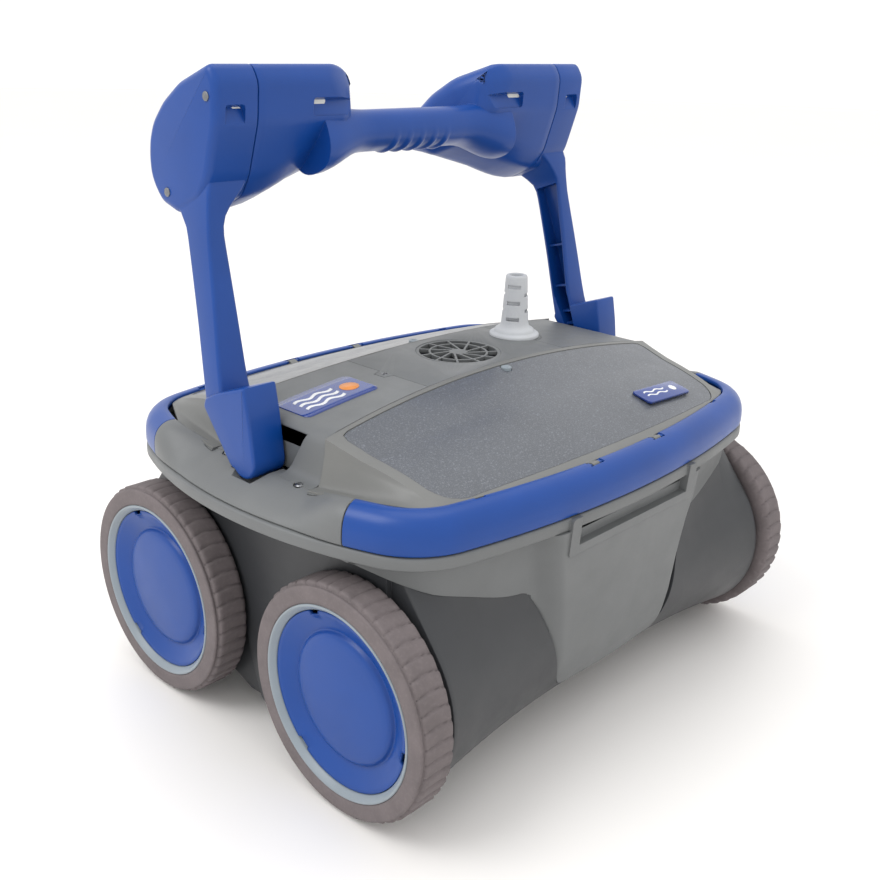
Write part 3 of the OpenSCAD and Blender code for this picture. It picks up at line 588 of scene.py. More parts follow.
def tyre_profile():
    steps = [mix(TYRE_IN + 2.6, TYRE_OUT - 4.4, i / 8) for i in range(9)]
    return ([(TYRE_IN + 0.6, RING_R), (TYRE_IN, RING_R + 1.2), (TYRE_IN, WHEEL_R - 5.5),
            (TYRE_IN + 0.5, WHEEL_R - 3.4), (TYRE_IN + 1.4, WHEEL_R - 1.4)]
            + [(x, WHEEL_R - 0.05) for x in steps]
            + [(TYRE_OUT - 3.4, WHEEL_R - 0.9), (TYRE_OUT - 3.1, WHEEL_R - 2.6),
            (TYRE_OUT - 2.7, WHEEL_R - 3.2), (TYRE_OUT - 2.3, WHEEL_R - 3.1),
               (TYRE_OUT - 1.5, WHEEL_R - 2.6), (TYRE_OUT - 0.6, WHEEL_R - 2.8),
               (TYRE_OUT - 0.1, WHEEL_R - 3.6), (TYRE_OUT, WHEEL_R - 4.6),
               (TYRE_OUT - 0.15, RING_R + 3.0), (TYRE_OUT - 0.1, RING_R + 1.0), (TYRE_OUT - 0.7, RING_R)])


def make_wheel(name, body, sx, sy):
    t = TYRE_OUT
    tyre = revolve(f"{name}_tread", tyre_profile(), TREAD_RIBS * 11, sx, sy, tread_radius)
    place(tyre, body, "tyre_rubber", f"{name}_tyre", rounding=0)
    r = RING_R - 0.05
    ring = revolve(f"{name}_ring", [
        (TYRE_IN - 0.4, 6), (TYRE_IN - 0.4, 14), (TYRE_IN + 8, 14), (TYRE_IN + 8, r - 6),
        (TYRE_IN + 1, r - 5.4), (TYRE_IN + 1, r),
        (t - 0.4, r), (t + 0.15, r - 0.5), (t + 0.1, r - 1.3), (t - 0.5, r - 2.0), (t - 3.2, r - 4.4),
        (t - 3.9, r - 4.8), (TYRE_IN + 11, r - 4.8),
        (TYRE_IN + 11, 14), (TYRE_IN + 14, 14), (TYRE_IN + 14, 6)], 144, sx, sy)
    place(ring, body, "ring_plastic", f"{name}_rim", rounding=0.25, angle=40)

    def notched(x, rr, turn):
        return rr - 2.6 if rr > RING_R - 7 and near_clip(turn, 0.0115) else rr
    edge = RING_R - 5.3
    dish = [(t - 12.5, 0), (t - 12.5, 44), (t - 6.4, edge), (t - 4.1, edge), (t - 3.7, edge - 0.5),
            (t - 4.6, edge - 3), (t - 7.2, 53), (t - 9.2, 48),
            (t - 10.1, 46.2), (t - 10.5, 45.3), (t - 10.0, 44.6), (t - 8.6, 44.0), (t - 7.6, 42.8),
            (t - 6.9, 40.5), (t - 6.4, 36), (t - 5.7, 24), (t - 5.2, 10), (t - 5.15, 4), (t - 5.1, 0)]
    cover = revolve(f"{name}_disc", dish, 360, sx, sy, notched)
    place(cover, body, "blue_plastic", f"{name}_cover", rounding=0)


def make_wheels():
    for sy, end in ((-1, "front"), (1, "rear")):
        for sx, side in ((-1, "left"), (1, "right")):
            make_wheel(f"{end}_{side}", f"{end}_wheels", sx, sy)


# ---- Rim and bumpers --------
HINGE_Y, HINGE_Z = -(HALF_L - 14.8), BUMPER_TOP - 2.5
HINGE_X = 36.0
BUMPER_SECTION = [(1.6, 0.3), (0.5, 1.2), (0, 3.2), (-0.0, 7), (0.2, 11), (0.9, 14.6), (2.2, 18),
        (4.2, 20.9), (6.8, 23.2), (9.8, 24.7), (13, 25.4),
                  (15.6, 25.5), (16.6, 25.1), (17, 24.2), (17, 22.5), (14, 22), (14, 0.3)]


def make_bumpers():
    rear = loft("bumper", sweep(half_outline(BUMPER_END + 0.0012),
            [(d, BUMPER_Z + z) for d, z in BUMPER_SECTION]))
    for s in (-1, 1):
        carve(rear, box("notch", (s * HINGE_X - 7.2, -HINGE_Y - 20, HINGE_Z - 4.9),
                (s * HINGE_X + 7.2, -HINGE_Y + 3.1, HINGE_Z + 20)))
        a = atan2(134 * s, front_y(134, 16) - FRONT_CY)
        tab = [(134 * s + u * cos(a) + v * sin(a), front_y(134, 16) - u * sin(a) + v * cos(a)) for u,
                v in ((-4, -4), (4, -4), (4, 1.6), (-4, 1.6))]
        carve(rear, prism_z("tab", tab, BUMPER_TOP - 1.6, BUMPER_TOP + 5))
    front = copy_mirrored(rear, 1, "bumper_front")
    rear.name = "bumper_rear"
    place(front, "root", "blue_plastic", "front_bumper", rounding=0.45)
    place(rear, "root", "blue_plastic", "rear_bumper", rounding=0.45)


LIP = [(17, 0), (2.2, 0), (0.9, 0.2), (0.2, 0.9), (0, 2.0), (0, 6.6), (0.25, 7.8), (0.9, 8.5), (2.0, 8.8),
        (17, 8.8)]
SADDLE = [(3.2, 9.2), (2.9, 9.9), (3.3, 10.6), (5.2, 12.2), (8.2, 14.2), (11.5, 16.0), (15.5, 18.0),
        (20, 20.2), (24, 22.1), (27.5, 23.5), (30, 24.2), (32, 24.5)]
SADDLE_END = [(1.6, 9.2), (0.5, 10.2), (0, 12.2), (0, 16), (0.2, 20), (0.9, 23.6), (2.2, 27), (4.2, 29.9),
        (6.8, 32.2), (9.8, 33.7), (13, 34.3), (16.5, 34.2)]
SCREW = (186.0, 38.0)


def make_saddle():
    """Right-hand side of the rim, between the bumpers, with its ledge under the handle foot."""
    rows = []
    ys = [0, 10, 20, 30, 40, 48, 50.2, 50.8, 55, 60, 65, 70, 75, 80, 85, 90, 95, 99.6]
    for y in [-v for v in reversed(ys[1:])] + ys:
        a = asin(y / SIDE_R)
        p, n = (SIDE_CX + SIDE_R * cos(a), y), (cos(a), sin(a))
        t = smooth(54, 97, abs(y))
        inner = 177.5 if abs(y) < 50.5 else mix(190.7, 189.0, (abs(y) - 50) / 50)
        ring = []
        for (d0, z0), (d1, z1) in zip(SADDLE, SADDLE_END):
            d, z = mix(d0, d1, t), mix(z0, z1, t)
            ring.append((p[0] - n[0] * d, p[1] - n[1] * d, RIM_Z + z))
        first = ring[-1]
        ring.append((mix(first[0], inner, 0.5), y, RIM_Z + mix(SADDLE[-1][1], 34.0, t)))
        ring.append((inner, y, RIM_Z + mix(SADDLE[-1][1], 33.6, t)))
        ring.append((inner, y, RIM_Z + 9.2))
        rows.append(ring)
    saddle = loft("saddle", rows)
    carve(saddle, tube_x("foot_pocket", 172, 201.6, 15.6, PIVOT.y, PIVOT.z),
          tube_x("pocket_slope", 172, 196.6, 17.4, PIVOT.y + 3.5, PIVOT.z + 0.5))
    for s in (-1, 1):
        carve(saddle, loft("screw_well", [[(SCREW[0] + r * cos(a / 12 * pi),
                s * SCREW[1] + r * sin(a / 12 * pi), z) for a in range(24)]
                                          for r, z in ((4.3, LEDGE_Z - 1.4), (4.6, LEDGE_Z + 8))]))
    return saddle


# ---- Front and rear shells of the upper hull --------
APRON_INSET, APRON_LEAN, LEAN_END = 10, 3.6, 128


def apron_y(x, z):
    """Depth of the apron's face at x and height z, before its edges are set back."""
    return front_y(x, APRON_INSET) - APRON_LEAN * smooth(RIM_Z, LEAN_END, z)


SEAM = [(0, 49.0), (50, 49.0), (57, 50.5), (61, 54), (64.5, 61), (68, 72), (71.5, 84), (75, 96), (79, 107),
        (83, 116), (87, 124), (90, 129), (93, 132.2),
        (97, 134), (104, 134.6), (112, 136), (124, 139.5), (138, 144.5), (153, 149.6), (169, 155),
        (186, 164), (203, 174.6)]
APRON_FACE = [(48, 156.6), (60, 160.9), (80, 164.0), (100, 165.2), (120, 166.4), (150, 168.6), (186, 171.2)]
APRON_EDGE = [(48, 50), (54, 57), (66, 61), (84, 63.5), (110, 66.5), (140, 72), (157, 77), (186, 79)]
RECESS_X, RECESS_Z = 64.0, RIM_Z - 12.5
FRAME_X, FRAME_BOTTOM, FRAME_TOP = RECESS_X + 9.5, RECESS_Z - 6.5, RIM_Z + 8.5
SHELL_T = 9
TRAY_Y = HALF_L - 7.8
APRON_BOW = 6000


def shell_depth(x, z):
    """How far the shell reaches to the front at x and z."""
    wall = apron_y(x, z) - 0.6
    lip = 5.5 * (1 - sqrt(max(0.0, 1 - max(0.0, (z - (RIM_Z - 5.5)) / 5.5) ** 2)))
    wall += lip
    edge = along(APRON_EDGE, z)
    t = smooth(edge + 19, edge, abs(x))
    face = along(APRON_FACE, z) - x * x / APRON_BOW
    if abs(x) < RECESS_X + 5 and z > RECESS_Z - 3:
        return TRAY_Y
    return mix(wall, max(wall, face), t)


def make_shell():
    """Shoulders and apron of the front, as one skin with the filleted corner between them."""
    xs = ([0, 10, 20, 30, 40, 46, 50, 53, 55, 57, 59, 61, 63, 65, 67, 69, 71, 73, 75, 77, 79, 81, 83, 85, 87,
            89, 91, 93, 95, 98, 102]
          + [108, 114, 121, 128, 136, 144, 152, 160, 167, 173, 178, 183, 187, 191, 195, 198, 200.5, 202.3])
    xs = [-x for x in reversed(xs[1:])] + xs
    rows = 34
    top, bottom = [], []
    for i in range(rows + 1):
        high, low = [], []
        for x in xs:
            z = mix(RIM_Z + 0.2, along(SEAM, abs(x)), (i / rows))
            y = shell_depth(x, z)
            high.append((x, -y, z))
            low.append((x, -(y - SHELL_T), z))
        top.append(high)
        bottom.append(low)
    shell = sheet_solid("shell", top, bottom)
    border = rounded_polygon([(-FRAME_X, FRAME_TOP), (-FRAME_X, FRAME_BOTTOM), (FRAME_X, FRAME_BOTTOM),
            (FRAME_X, FRAME_TOP)], 3.0, 4)
    raised = loft("raised", [[(x, -along(APRON_FACE, z) + x * x / APRON_BOW - out, z) for x, z in border]
            for out in (-8.5, 1.1)])
    mouth = [(-RECESS_X, RIM_Z + 20), (-RECESS_X, RECESS_Z), (RECESS_X, RECESS_Z), (RECESS_X, RIM_Z + 20)]
    deep = inset(mouth, 2.2)
    carve(raised, loft("recess", [[(x, y, z) for x, z in ring] for ring,
            y in ((mouth, -HALF_L - 4), (mouth, -HALF_L), (deep, -TRAY_Y + 12))]))
    raised = merge("raised", raised, box("tray", (-67, -TRAY_Y, RIM_Z - 5), (67, -TRAY_Y + 4, FRAME_TOP)))
    return shell, raised


def make_upper_hull():
    lip = loft("lip", sweep(full_outline(), [(d, RIM_Z + z) for d, z in LIP]), ring_loop=True)
    right = make_saddle()
    left = copy_mirrored(right, 0, "saddle_left")
    wall = [(14.3, 9), (14.3, 27.4), (17, 27.4), (17, 9)]
    rear_wall = loft("wall", sweep(half_outline(BUMPER_END), [(d, RIM_Z + z) for d, z in wall]))
    front_wall = copy_mirrored(rear_wall, 1, "wall_front")
    shell, raised = make_shell()
    shells = [shell, raised, copy_mirrored(shell, 1, "shell_rear"), copy_mirrored(raised, 1, "raised_rear")]
    hull = merge("hull_top", lip, right, left, rear_wall, front_wall, *shells)
    place(hull, "root", "grey_plastic", "upper_hull", rounding=0.7)


# ---- Lower hull --------
BARREL_END = TYRE_IN - 5.7
BARREL_R, BARREL_WAIST = WHEEL_R - 7.3, WHEEL_R - 18


def barrel_radius(x):
    return BARREL_WAIST + (BARREL_R - BARREL_WAIST) * (max(0, abs(x) - 46) / (BARREL_END - 46)) ** 1.9


def hull_section(x, shrink=0.0):
    """Section of the tub at x: two barrels, each with a straight face up to the shoulder joint."""
    r = barrel_radius(x) - shrink
    zs = along(SEAM, max(abs(x), 97)) + 1
    ys = apron_y(x, zs) - 2.0 - shrink
    dy, dz = ys - AXLE_Y, zs - WHEEL_R
    reach = hypot(dy, dz)
    touch = atan2(dz, dy) - acos(min(1.0, r / reach))
    half = [(AXLE_Y + r * cos(mix(-2.25, touch, i / 30)), WHEEL_R + r * sin(mix(-2.25, touch, i / 30)))
            for i in range(31)]
    half += [(mix(half[-1][0], ys, 0.5), mix(half[-1][1], zs, 0.5)), (ys, zs), (ys, RIM_Z - 0.6),
            (90, RIM_Z - 0.6)]
    right = [(12, 15.5), (30, 15.5)] + half
    return [(-y, z) for y, z in reversed(right)] + right


def make_lower_hull():
    xs = [46, 60, 74, 88, 100, 112, 124, 135, 145, 154, 162, 169, 174, 178, 180.6]
    ring_xs = [-x for x in reversed(xs)] + [-30, -15, 0, 15, 30] + xs
    rings = [[(x, y, z) for y, z in hull_section(x)] for x in ring_xs]
    for sx in (-1, 1):
        end = [[(sx * (BARREL_END - k), y, z) for y, z in hull_section(BARREL_END - k, s)] for k,
                s in ((0.3, 0.35), (0.0, 1.0))]
        rings = rings + end if sx > 0 else list(reversed(end)) + rings
    tub = loft("tub", rings)
    front = [(x, min(150.0, front_y(x, 10) - 9.6)) for x in range(-165, 166, 15)]
    carve(tub, prism_z("well", front + [(x, -y) for x, y in reversed(front)], 60, 240))
    below = [(x, z - 0.6) for x, z in SEAM if x <= 104]
    room = [(-x, z) for x, z in reversed(below)] + below[1:] + [(104, 150), (-104, 150)]
    for s in (-1, 1):
        carve(tub, loft("apron_room", [[(x, y, z) for x, z in room] for y in sorted((s * 152.5, s * 200))]))
        carve(tub, box("mouth", (-80, s * 52 - 12, 2), (80, s * 52 + 12, 30)),
                box("flap_room", (-86, s * 52 - 16, 18.6), (86, s * 52 + 16, 55)),
              tube_x("axle_bore", -BARREL_END - 5, BARREL_END + 5, 11.05, s * AXLE_Y, WHEEL_R))
    skirt = rounded_polygon([(-118, RIM_Z - 0.3), (-118, 140), (-30, 88), (-23, 52), (-11, 15), (11, 15),
            (23, 52), (30, 88), (118, 140), (118, RIM_Z - 0.3)], 6)
    skirts = [prism_x("skirt", skirt, sx * (BARREL_END - 16), sx * (TYRE_IN - 1.4)) for sx in (-1, 1)]
    hull = merge("hull_base", tub, *skirts)
    place(hull, "root", "dark_plastic", "lower_hull", rounding=0.8)


# ---- Doors --------
RIDGE_HALF, RIDGE_Y, RIDGE_ARC = 177.0, 40.0, 177.0 ** 2 / 20
CROWN_R = 1163.0
DOOR_INSET = 18.0
SLAB_T = 3.0
WINDOW_X, WINDOW_BACK, WINDOW_FRONT, WINDOW_R = 157.0, 165.0, -145.0, 24.0
LATCH_Y, LATCH_R = -48.0, 4.0


def crown(x):
    return DECK_Z - CROWN_R + sqrt(CROWN_R ** 2 - x * x)


def ridge_edge(x):
    return RIDGE_Y + x * x / (2 * RIDGE_ARC)


def door_surface(u, t):
    """Top of the front door.

    u runs from the middle (0) over the plateau (1) to its outer edge (2), and t from the bumper to the ridge.
    """
    s, k = (1 if u >= 0 else -1), abs(u)
    plateau = mix(162.0, RIDGE_HALF - 2, t)
    reach = SIDE_R - DOOR_INSET
    outer = mix(SIDE_CX + reach * cos(BUMPER_END), 190.1, t)
    if k <= 1:
        x = plateau * k
        drop_by = 0.0
    else:
        x = mix(plateau, outer, k - 1)
        drop_by = smooth(plateau - 3, mix(plateau, outer, mix(0.62, 0.45, t)), x)
    corner_y = reach * sin(BUMPER_END) - 0.6
    near = front_y(min(x, 178), DOOR_INSET) if x < 170 else mix(front_y(170, DOOR_INSET), corner_y,
            (x - 170) / (outer - 170))
    far = ridge_edge(min(x, RIDGE_HALF)) + 0.45 if x < RIDGE_HALF else 50.5
    y = mix(near, far, t)
    front_z = BUMPER_TOP - 1.6
    bulge = 1.5 * sin(pi * min(1.0, t * 1.6)) if t < 0.625 else 0.0
    top = mix(front_z, crown(min(x, RIDGE_HALF)), t) + bulge
    ledge = mix(BUMPER_TOP - 2.2, LEDGE_Z + 0.6, t)
    return s * x, -y, mix(top, ledge, drop_by)


def door_slab(name, lift, thick):
    us = [i / 20 for i in range(20)] + [0.98] + [1 + i / 22 for i in range(23)]
    us = [-u for u in reversed(us[1:])] + us
    ts = [0, 0.012, 0.03, 0.06] + [0.1 + 0.9 * i / 20 for i in range(21)]
    top = [[door_surface(u, t) for u in us] for t in ts]
    top = [[(x, y, z + lift) for x, y, z in row] for row in top]
    bottom = [[(x, y, z - thick) for x, y, z in row] for row in top]
    return sheet_solid(name, top, bottom)


def window_plan(d):
    """Rounded outline of the window, following the ridge at the back and bowed a little at the front."""
    corner = (WINDOW_X - WINDOW_R, WINDOW_FRONT + WINDOW_R + 5)
    right = [(x, WINDOW_FRONT - 2.4 + x * x / 2300) for x in (0, 30, 60, 90, 112)]
    right += [(corner[0] + WINDOW_R * cos(a), corner[1] + WINDOW_R * sin(a))
            for a in (radians(k) for k in range(-78, 1, 13))]
    right += [(x, -ridge_edge(x) - 3.6 - lead) for x,
            lead in ((WINDOW_BACK - 0.6, 7), (WINDOW_BACK - 2, 1.5), (WINDOW_BACK - 7, 0), (140, 0),
            (120, 0), (90, 0), (60, 0), (30, 0), (0, 0))]
    return inset(right + [(-x, y) for x, y in reversed(right[1:-1])], d)


def mirrored_off(obj):
    """Swaps a front piece for its mirror image at the rear."""
    twin = copy_mirrored(obj, 1, obj.name + "_rear")
    drop(obj)
    return twin


def latch_hole():
    r = LATCH_R * 1.12
    turns = [a / 12 * pi for a in range(24)]
    return prism_z("hole", [(r * cos(a), LATCH_Y + r * sin(a)) for a in turns], 200, 260)


def make_door(end):
    """The front door; the rear one is its mirror image, without the small plate."""
    slab = door_slab("door_slab", 0.0, SLAB_T)
    hole = latch_hole()
    carve(slab, prism_z("opening", window_plan(0), 150, 300), hole)
    parts = [slab]
    for s in (-1, 1):
        ring = [(HINGE_Y + 2.3 * cos(radians(a)), HINGE_Z + 2.3 * sin(radians(a)))
                for a in range(60, 301, 16)]
        tongue = ring + [(HINGE_Y + 7.5, HINGE_Z - 1.9), (HINGE_Y + 7.5, HINGE_Z + 0.2)]
        knuckle = prism_x("knuckle", tongue, s * HINGE_X - 3.5, s * HINGE_X + 3.5)
        parts.append(carve(knuckle, tube_x("pin_bore", s * HINGE_X - 5, s * HINGE_X + 5, 1.2, HINGE_Y,
                HINGE_Z, 20)))
    shell = merge("door_shell", *parts)
    pane = door_slab("pane", -0.35, 2.4)
    hole = latch_hole()
    carve(pane, prism_z("cutout", window_plan(0.45), 150, 300), kind="INTERSECT")
    carve(pane, hole)
    button = turned("button", (0, LATCH_Y),
            [(0.01, DECK_Z - 13), (LATCH_R + 2, DECK_Z - 13), (LATCH_R + 2, DECK_Z - 10),
            (LATCH_R, DECK_Z - 10),
                                             (LATCH_R, DECK_Z - 1.9), (LATCH_R - 0.5, DECK_Z - 1.4),
                                             (2.3, DECK_Z - 1.4), (1.7, DECK_Z - 1.9), (0.01, DECK_Z - 2.1)],
                                             40)
    if end == "rear":
        shell, pane, button = (mirrored_off(obj) for obj in (shell, pane, button))
    place(shell, f"{end}_door", "pale_plastic", f"{end}_door_frame", rounding=0.55, angle=28)
    place(pane, f"{end}_door", "window_plastic", f"{end}_window", rounding=0.35, angle=28)
    place(button, f"{end}_latch", "ring_plastic", f"{end}_latch", rounding=0.2)


def turned(name, centre, profile, n=64):
    """Turns a profile of (r, z) about a vertical line: it ends on the axis or forms a loop."""
    cx, cy = centre
    rings = []
    for i in range(n):
        a = 2 * pi * i / n
        rings.append([(cx + r * cos(a), cy + r * sin(a), z) for r, z in profile])
    return loft(name, rings, ring_loop=True)


# ---- Strain relief, screws and plates --------
BOOT = (75.0, 8.0)


def make_boot():
    base = crown(BOOT[0] - 20) + 0.1
    profile = [(5.0, -14), (8.8, -14), (8.8, -1.2), (20, -1.2), (20, 0.6), (19.7, 1.3), (18.9, 1.8),
            (17.0, 2.3), (16.4, 2.7), (16.0, 3.8), (15.5, 4.7), (14.5, 5.4),
               (12.8, 6.3), (11.6, 7.8), (11.0, 10.5), (10.3, 20), (9.4, 34), (8.8, 45.5), (8.6, 47.2),
               (8.1, 48.2), (7.2, 48.5), (5.8, 48.4), (5.2, 47.8), (5.0, 46.6)]
    boot = turned("strain_relief", BOOT, [(r, base + z) for r, z in profile], 72)
    for i in range(5):
        z = base + 12.2 + i * 6.5
        turn = i % 2 * pi / 2 + 0.5
        for flip in (0, pi):
            a = turn + flip
            ux, uy, vx, vy = cos(a), sin(a), -sin(a), cos(a)
            plan = rounded_polygon([(BOOT[0] + ux * p + vx * q, BOOT[1] + uy * p + vy * q) for p,
                    q in ((6.6, -5.2), (16, -5.2), (16, 5.2), (6.6, 5.2))], 1.2, 2)
            carve(boot, prism_z("slot", plan, z, z + 2.9))
    place(boot, "root", "boot_rubber", "cable_boot", rounding=0.35, angle=35)


def screw_head(name, x, y, z, r=3.5):
    head = turned(name, (x, y), [(0.01, z - 10), (1.5, z - 10), (1.5, z), (r, z), (r, z + 0.8),
            (r - 0.5, z + 1.5), (r - 1.4, z + 1.9), (0.01, z + 2.0)], 36)
    carve(head, box("slot_a", (x - 2.1, y - 0.42, z + 0.9), (x + 2.1, y + 0.42, z + 4)))
    carve(head, box("slot_b", (x - 0.42, y - 2.1, z + 0.9), (x + 0.42, y + 2.1, z + 4)))
    return head


def make_screws():
    place(screw_head("plate_screw", -76, 0, crown(76) - 1.6, 3.3), "root", "steel", "ridge_screw",
            rounding=0.12)
    heads = [screw_head("rim_screw", sx * SCREW[0], sy * SCREW[1], LEDGE_Z - 1.3, 3.4) for sx in (-1, 1)
            for sy in (-1, 1)]
    place(merge("ledge_screws", *heads), "root", "steel", "rim_screws", rounding=0.12)


# ---- Handle --------
def leaned(u, v):
    """Handle coordinates, u to the rear and v up its length, to Y and Z at rest."""
    return (PIVOT.y + u * cos(LEAN) + v * sin(LEAN), PIVOT.z - u * sin(LEAN) + v * cos(LEAN))


def lean_ring(x, points):
    return [(x, *leaned(u, v)) for u, v in points]


H = 242.0
FOOT = [(-21.7, 46), (-18.5, 25.7), (-13.2, 2)] + [(12.5 * cos(radians(a)), 12.5 * sin(radians(a)))
        for a in range(194, 340, 12)] + [
    (15.3, -2.4), (29.5, 40), (25.5, 45), (12, 46.5)]
FLOAT = [(-47, H), (-10, H), (12, H - 5), (29, H - 13), (38, H - 22), (44, H - 33), (47, H - 44),
        (46, H - 53), (42, H - 64), (26, H - 76),
         (-3, H - 74), (-17, H - 64), (-40, H - 35), (-50, H - 13)]
FLOAT_OUT, FLOAT_SEAM = 185.0, 152.0
FOOT_IN, FOOT_OUT = 174.0, 200.0


def rounded_ends(profile, x0, x1, r0, r1, steps=5):
    """Rings of a solid along x whose ends are rounded over by r0 and r1."""
    arc_at = lambda i: (1 - cos(pi / 2 * i / steps), 1 - sin(pi / 2 * i / steps))
    first = [lean_ring(x0 + r0 * move, inset(profile, r0 * cut)) for move,
            cut in map(arc_at, range(steps + 1))]
    last = [lean_ring(x1 - r1 * move, inset(profile, r1 * cut)) for move,
            cut in map(arc_at, range(steps, -1, -1))]
    return first + last


def arm_front(v):
    return along([(30, 8.5), (55, 7.0), (100, -0.2), (143, -6.3), (160, -10.5), (170, -14), (180, -15),
            (206, -8)], v)


def arm_rear(v):
    return along([(30, 29), (48, 27.6), (67, 25.8), (96, 22.7), (133, 19.9), (155, 18.6), (168, 23),
            (176, 30), (206, 20)], v)


def blade_ring(v):
    """Section of the arm's blade at height v, level with the foot pin's axis."""
    outer = mix(198.4, 184.4, (v - 40) / 130) if v < 170 else 184.4 - (v - 170) * 0.3
    inward = FOOT_IN - 22 * smooth(140, 180, v) ** 2
    f, r = arm_front(v), arm_rear(v)
    plan = rounded_polygon([(f, inward), (r, inward), (r, outer), (f, outer)], 2.6, 4)
    return [(x, *leaned(u, v)) for u, x in plan]


def make_arm():
    """Right arm: foot, blade and outer float cap in one moulding."""
    foot = loft("foot", rounded_ends(rounded_polygon(FOOT, 2.0, 2), FOOT_IN, FOOT_OUT, 1.6, 2.2, 4))
    blade = loft("blade", [blade_ring(v) for v in [36, 44, 52, 62, 76, 92, 108, 124, 136, 144, 150, 156, 162,
            167, 171, 175, 180, 187, 195, 204]])
    cap_profile = rounded_polygon(FLOAT, 5.0, 4)
    cap = loft("cap", rounded_ends(cap_profile, FLOAT_SEAM + 0.35, FLOAT_OUT, 0.7, 5.5, 6))
    arm = carve(foot, blade, cap, kind="UNION")
    channel = loft("channel", [channel_ring(v) for v in (22, 60, 100, 140, 152)])
    carve(arm, channel)
    ribs = []
    for v, tilt in ((30, 10), (41, 10), (64, 8), (100, 6)):
        f, r = arm_front(v) + 1.5, arm_rear(v) - 1.5
        ribs.append(loft("rib", [lean_ring(x,
                [(f, v - 0.9), (r, v - 0.9 + tilt * 0.3), (r, v + 0.9 + tilt * 0.3), (f, v + 0.9)])
                for x in (FOOT_IN + 5, 192 - v * 0.07)]))
    carve(arm, slot_cutter(-47.5, H - 31, 162, 177, 8.5, 11), slot_cutter(49, H - 46, 176, 190, 4, 5))
    carve(arm, tube_x("pin_hole", FOOT_IN - 3, FOOT_OUT - 6, 5.06, PIVOT.y, PIVOT.z))
    return merge("arm", arm, *ribs)


def channel_ring(v):
    """Hollow of the arm, open towards the middle of the machine."""
    outer = mix(198.4, 184.4, (v - 40) / 130) - 3.2
    f, r = arm_front(v) + 2.8, arm_rear(v) - 2.8
    if v < 30:
        f, r = 9.0, 17.5
    return [(x, *leaned(u, v)) for u, x in ((f, FOOT_IN - 14), (r, FOOT_IN - 14), (r, outer), (f, outer))]


def slot_cutter(u, v, x0, x1, depth, tall):
    rounded = rounded_polygon([(x0, v - tall / 2), (x1, v - tall / 2), (x1, v + tall / 2),
            (x0, v + tall / 2)], 2.6, 4)
    return loft("slot", [[(x, *leaned(uu, vv)) for x, vv in rounded] for uu in (u - depth, u + depth)])


def shell_end(u):
    """How far in the inner end of a float reaches at u: it slants inwards from front to rear."""
    return along([(-60, 92), (-50, 82), (-42, 69), (-20, 62), (20, 55), (50, 50)], u)


def make_float_shell():
    profile = rounded_polygon(FLOAT, 5.0, 4)
    def tapered(points, x):
        rise = 24 * smooth(150, 62, x)
        return [(u, v + rise * smooth(212, 168, v)) for u, v in points]
    rings = [lean_ring(FLOAT_SEAM - 0.35 - 0.7 * (1 - cos(a)), inset(profile, 0.7 * (1 - sin(a))))
            for a in (0, 0.8, pi / 2)]
    rings += [lean_ring(x, tapered(profile, x)) for x in (145, 135, 125, 115, 104)]
    for i in range(9):
        a = pi / 2 * i / 8
        big = 13.0
        moved = inset(profile, big * (1 - cos(a)))
        ring = []
        for u, v in moved:
            x = shell_end(u) + big * (1 - sin(a))
            ring.append((x, *leaned(*tapered([(u, v)], x)[0])))
        rings.append(ring)
    shell = loft("float_shell", rings)
    carve(shell, slot_cutter(-49, H - 28, 70, 107, 9.5, 10.5))
    return shell


GRIP_U, GRIP_V = -17.0, 203.0


def make_grip():
    rings = []
    xs = [-96, -90, -84, -78, -72, -66, -60, -54, -48] + [-46 + i for i in range(93)] + [48, 54, 60, 66, 72,
            78, 84, 90, 96]
    for x in xs:
        flare = smooth(46, 96, abs(x))
        top, low = mix(217.0, 221, flare), mix(189.0, 176.0, flare ** 1.2)
        wide = mix(16.5, 22.0, flare)
        fingers = 1.8 * max(0.0, cos(x / 6.5 * pi)) if abs(x) < 32 else 0.0
        ring = []
        for i in range(36):
            a = 2 * pi * i / 36
            c, s = cos(a), sin(a)
            u = GRIP_U + wide * copysign(abs(c) ** 0.82, c)
            v = (top + low) / 2 + (top - low) / 2 * copysign(abs(s) ** 0.82, s)
            if s < 0:
                v -= fingers * (-s)
            ring.append((x, *leaned(u, v)))
        rings.append(ring)
    return loft("bar", rings)


def make_handle():
    right = make_arm()
    left = copy_mirrored(right, 0, "arm_left")
    right.name = "arm_right"
    place(right, "handle", "blue_plastic", "right_arm", rounding=0.5, angle=34)
    place(left, "handle", "blue_plastic", "left_arm", rounding=0.5, angle=34)
    shell = make_float_shell()
    twin = copy_mirrored(shell, 0, "float_shell_left")
    bar = carve(make_grip(), shell, twin, kind="UNION", solver="MANIFOLD")
    bar.name = "grip_bar"
    place(bar, "handle", "blue_plastic", "grip", rounding=0.4, angle=34)


def local_plate(name, outline, thick, spot):
    """A flat plate with a softened top, drawn about its own centre and then set in place."""
    rings = [[(x, y, 0) for x, y in outline], [(x, y, thick - 0.4) for x, y in outline],
             [(x, y, thick - 0.12) for x, y in inset(outline, 0.12)],
             [(x, y, thick) for x, y in inset(outline, 0.4)]]
    return loft(name, [[tuple(spot @ Vector(p)) for p in ring] for ring in rings])


def wave(x0, x1, y, rise, thick, n=24):
    """Outline of one wave line."""
    top = [(mix(x0, x1, i / n), y + rise * sin(i / n * 4 * pi) + thick / 2) for i in range(n + 1)]
    return top + [(px, py - thick) for px, py in reversed(top)]


def disc(x, y, r, n=28):
    return [(x + r * cos(2 * pi * i / n), y + r * sin(2 * pi * i / n)) for i in range(n)]


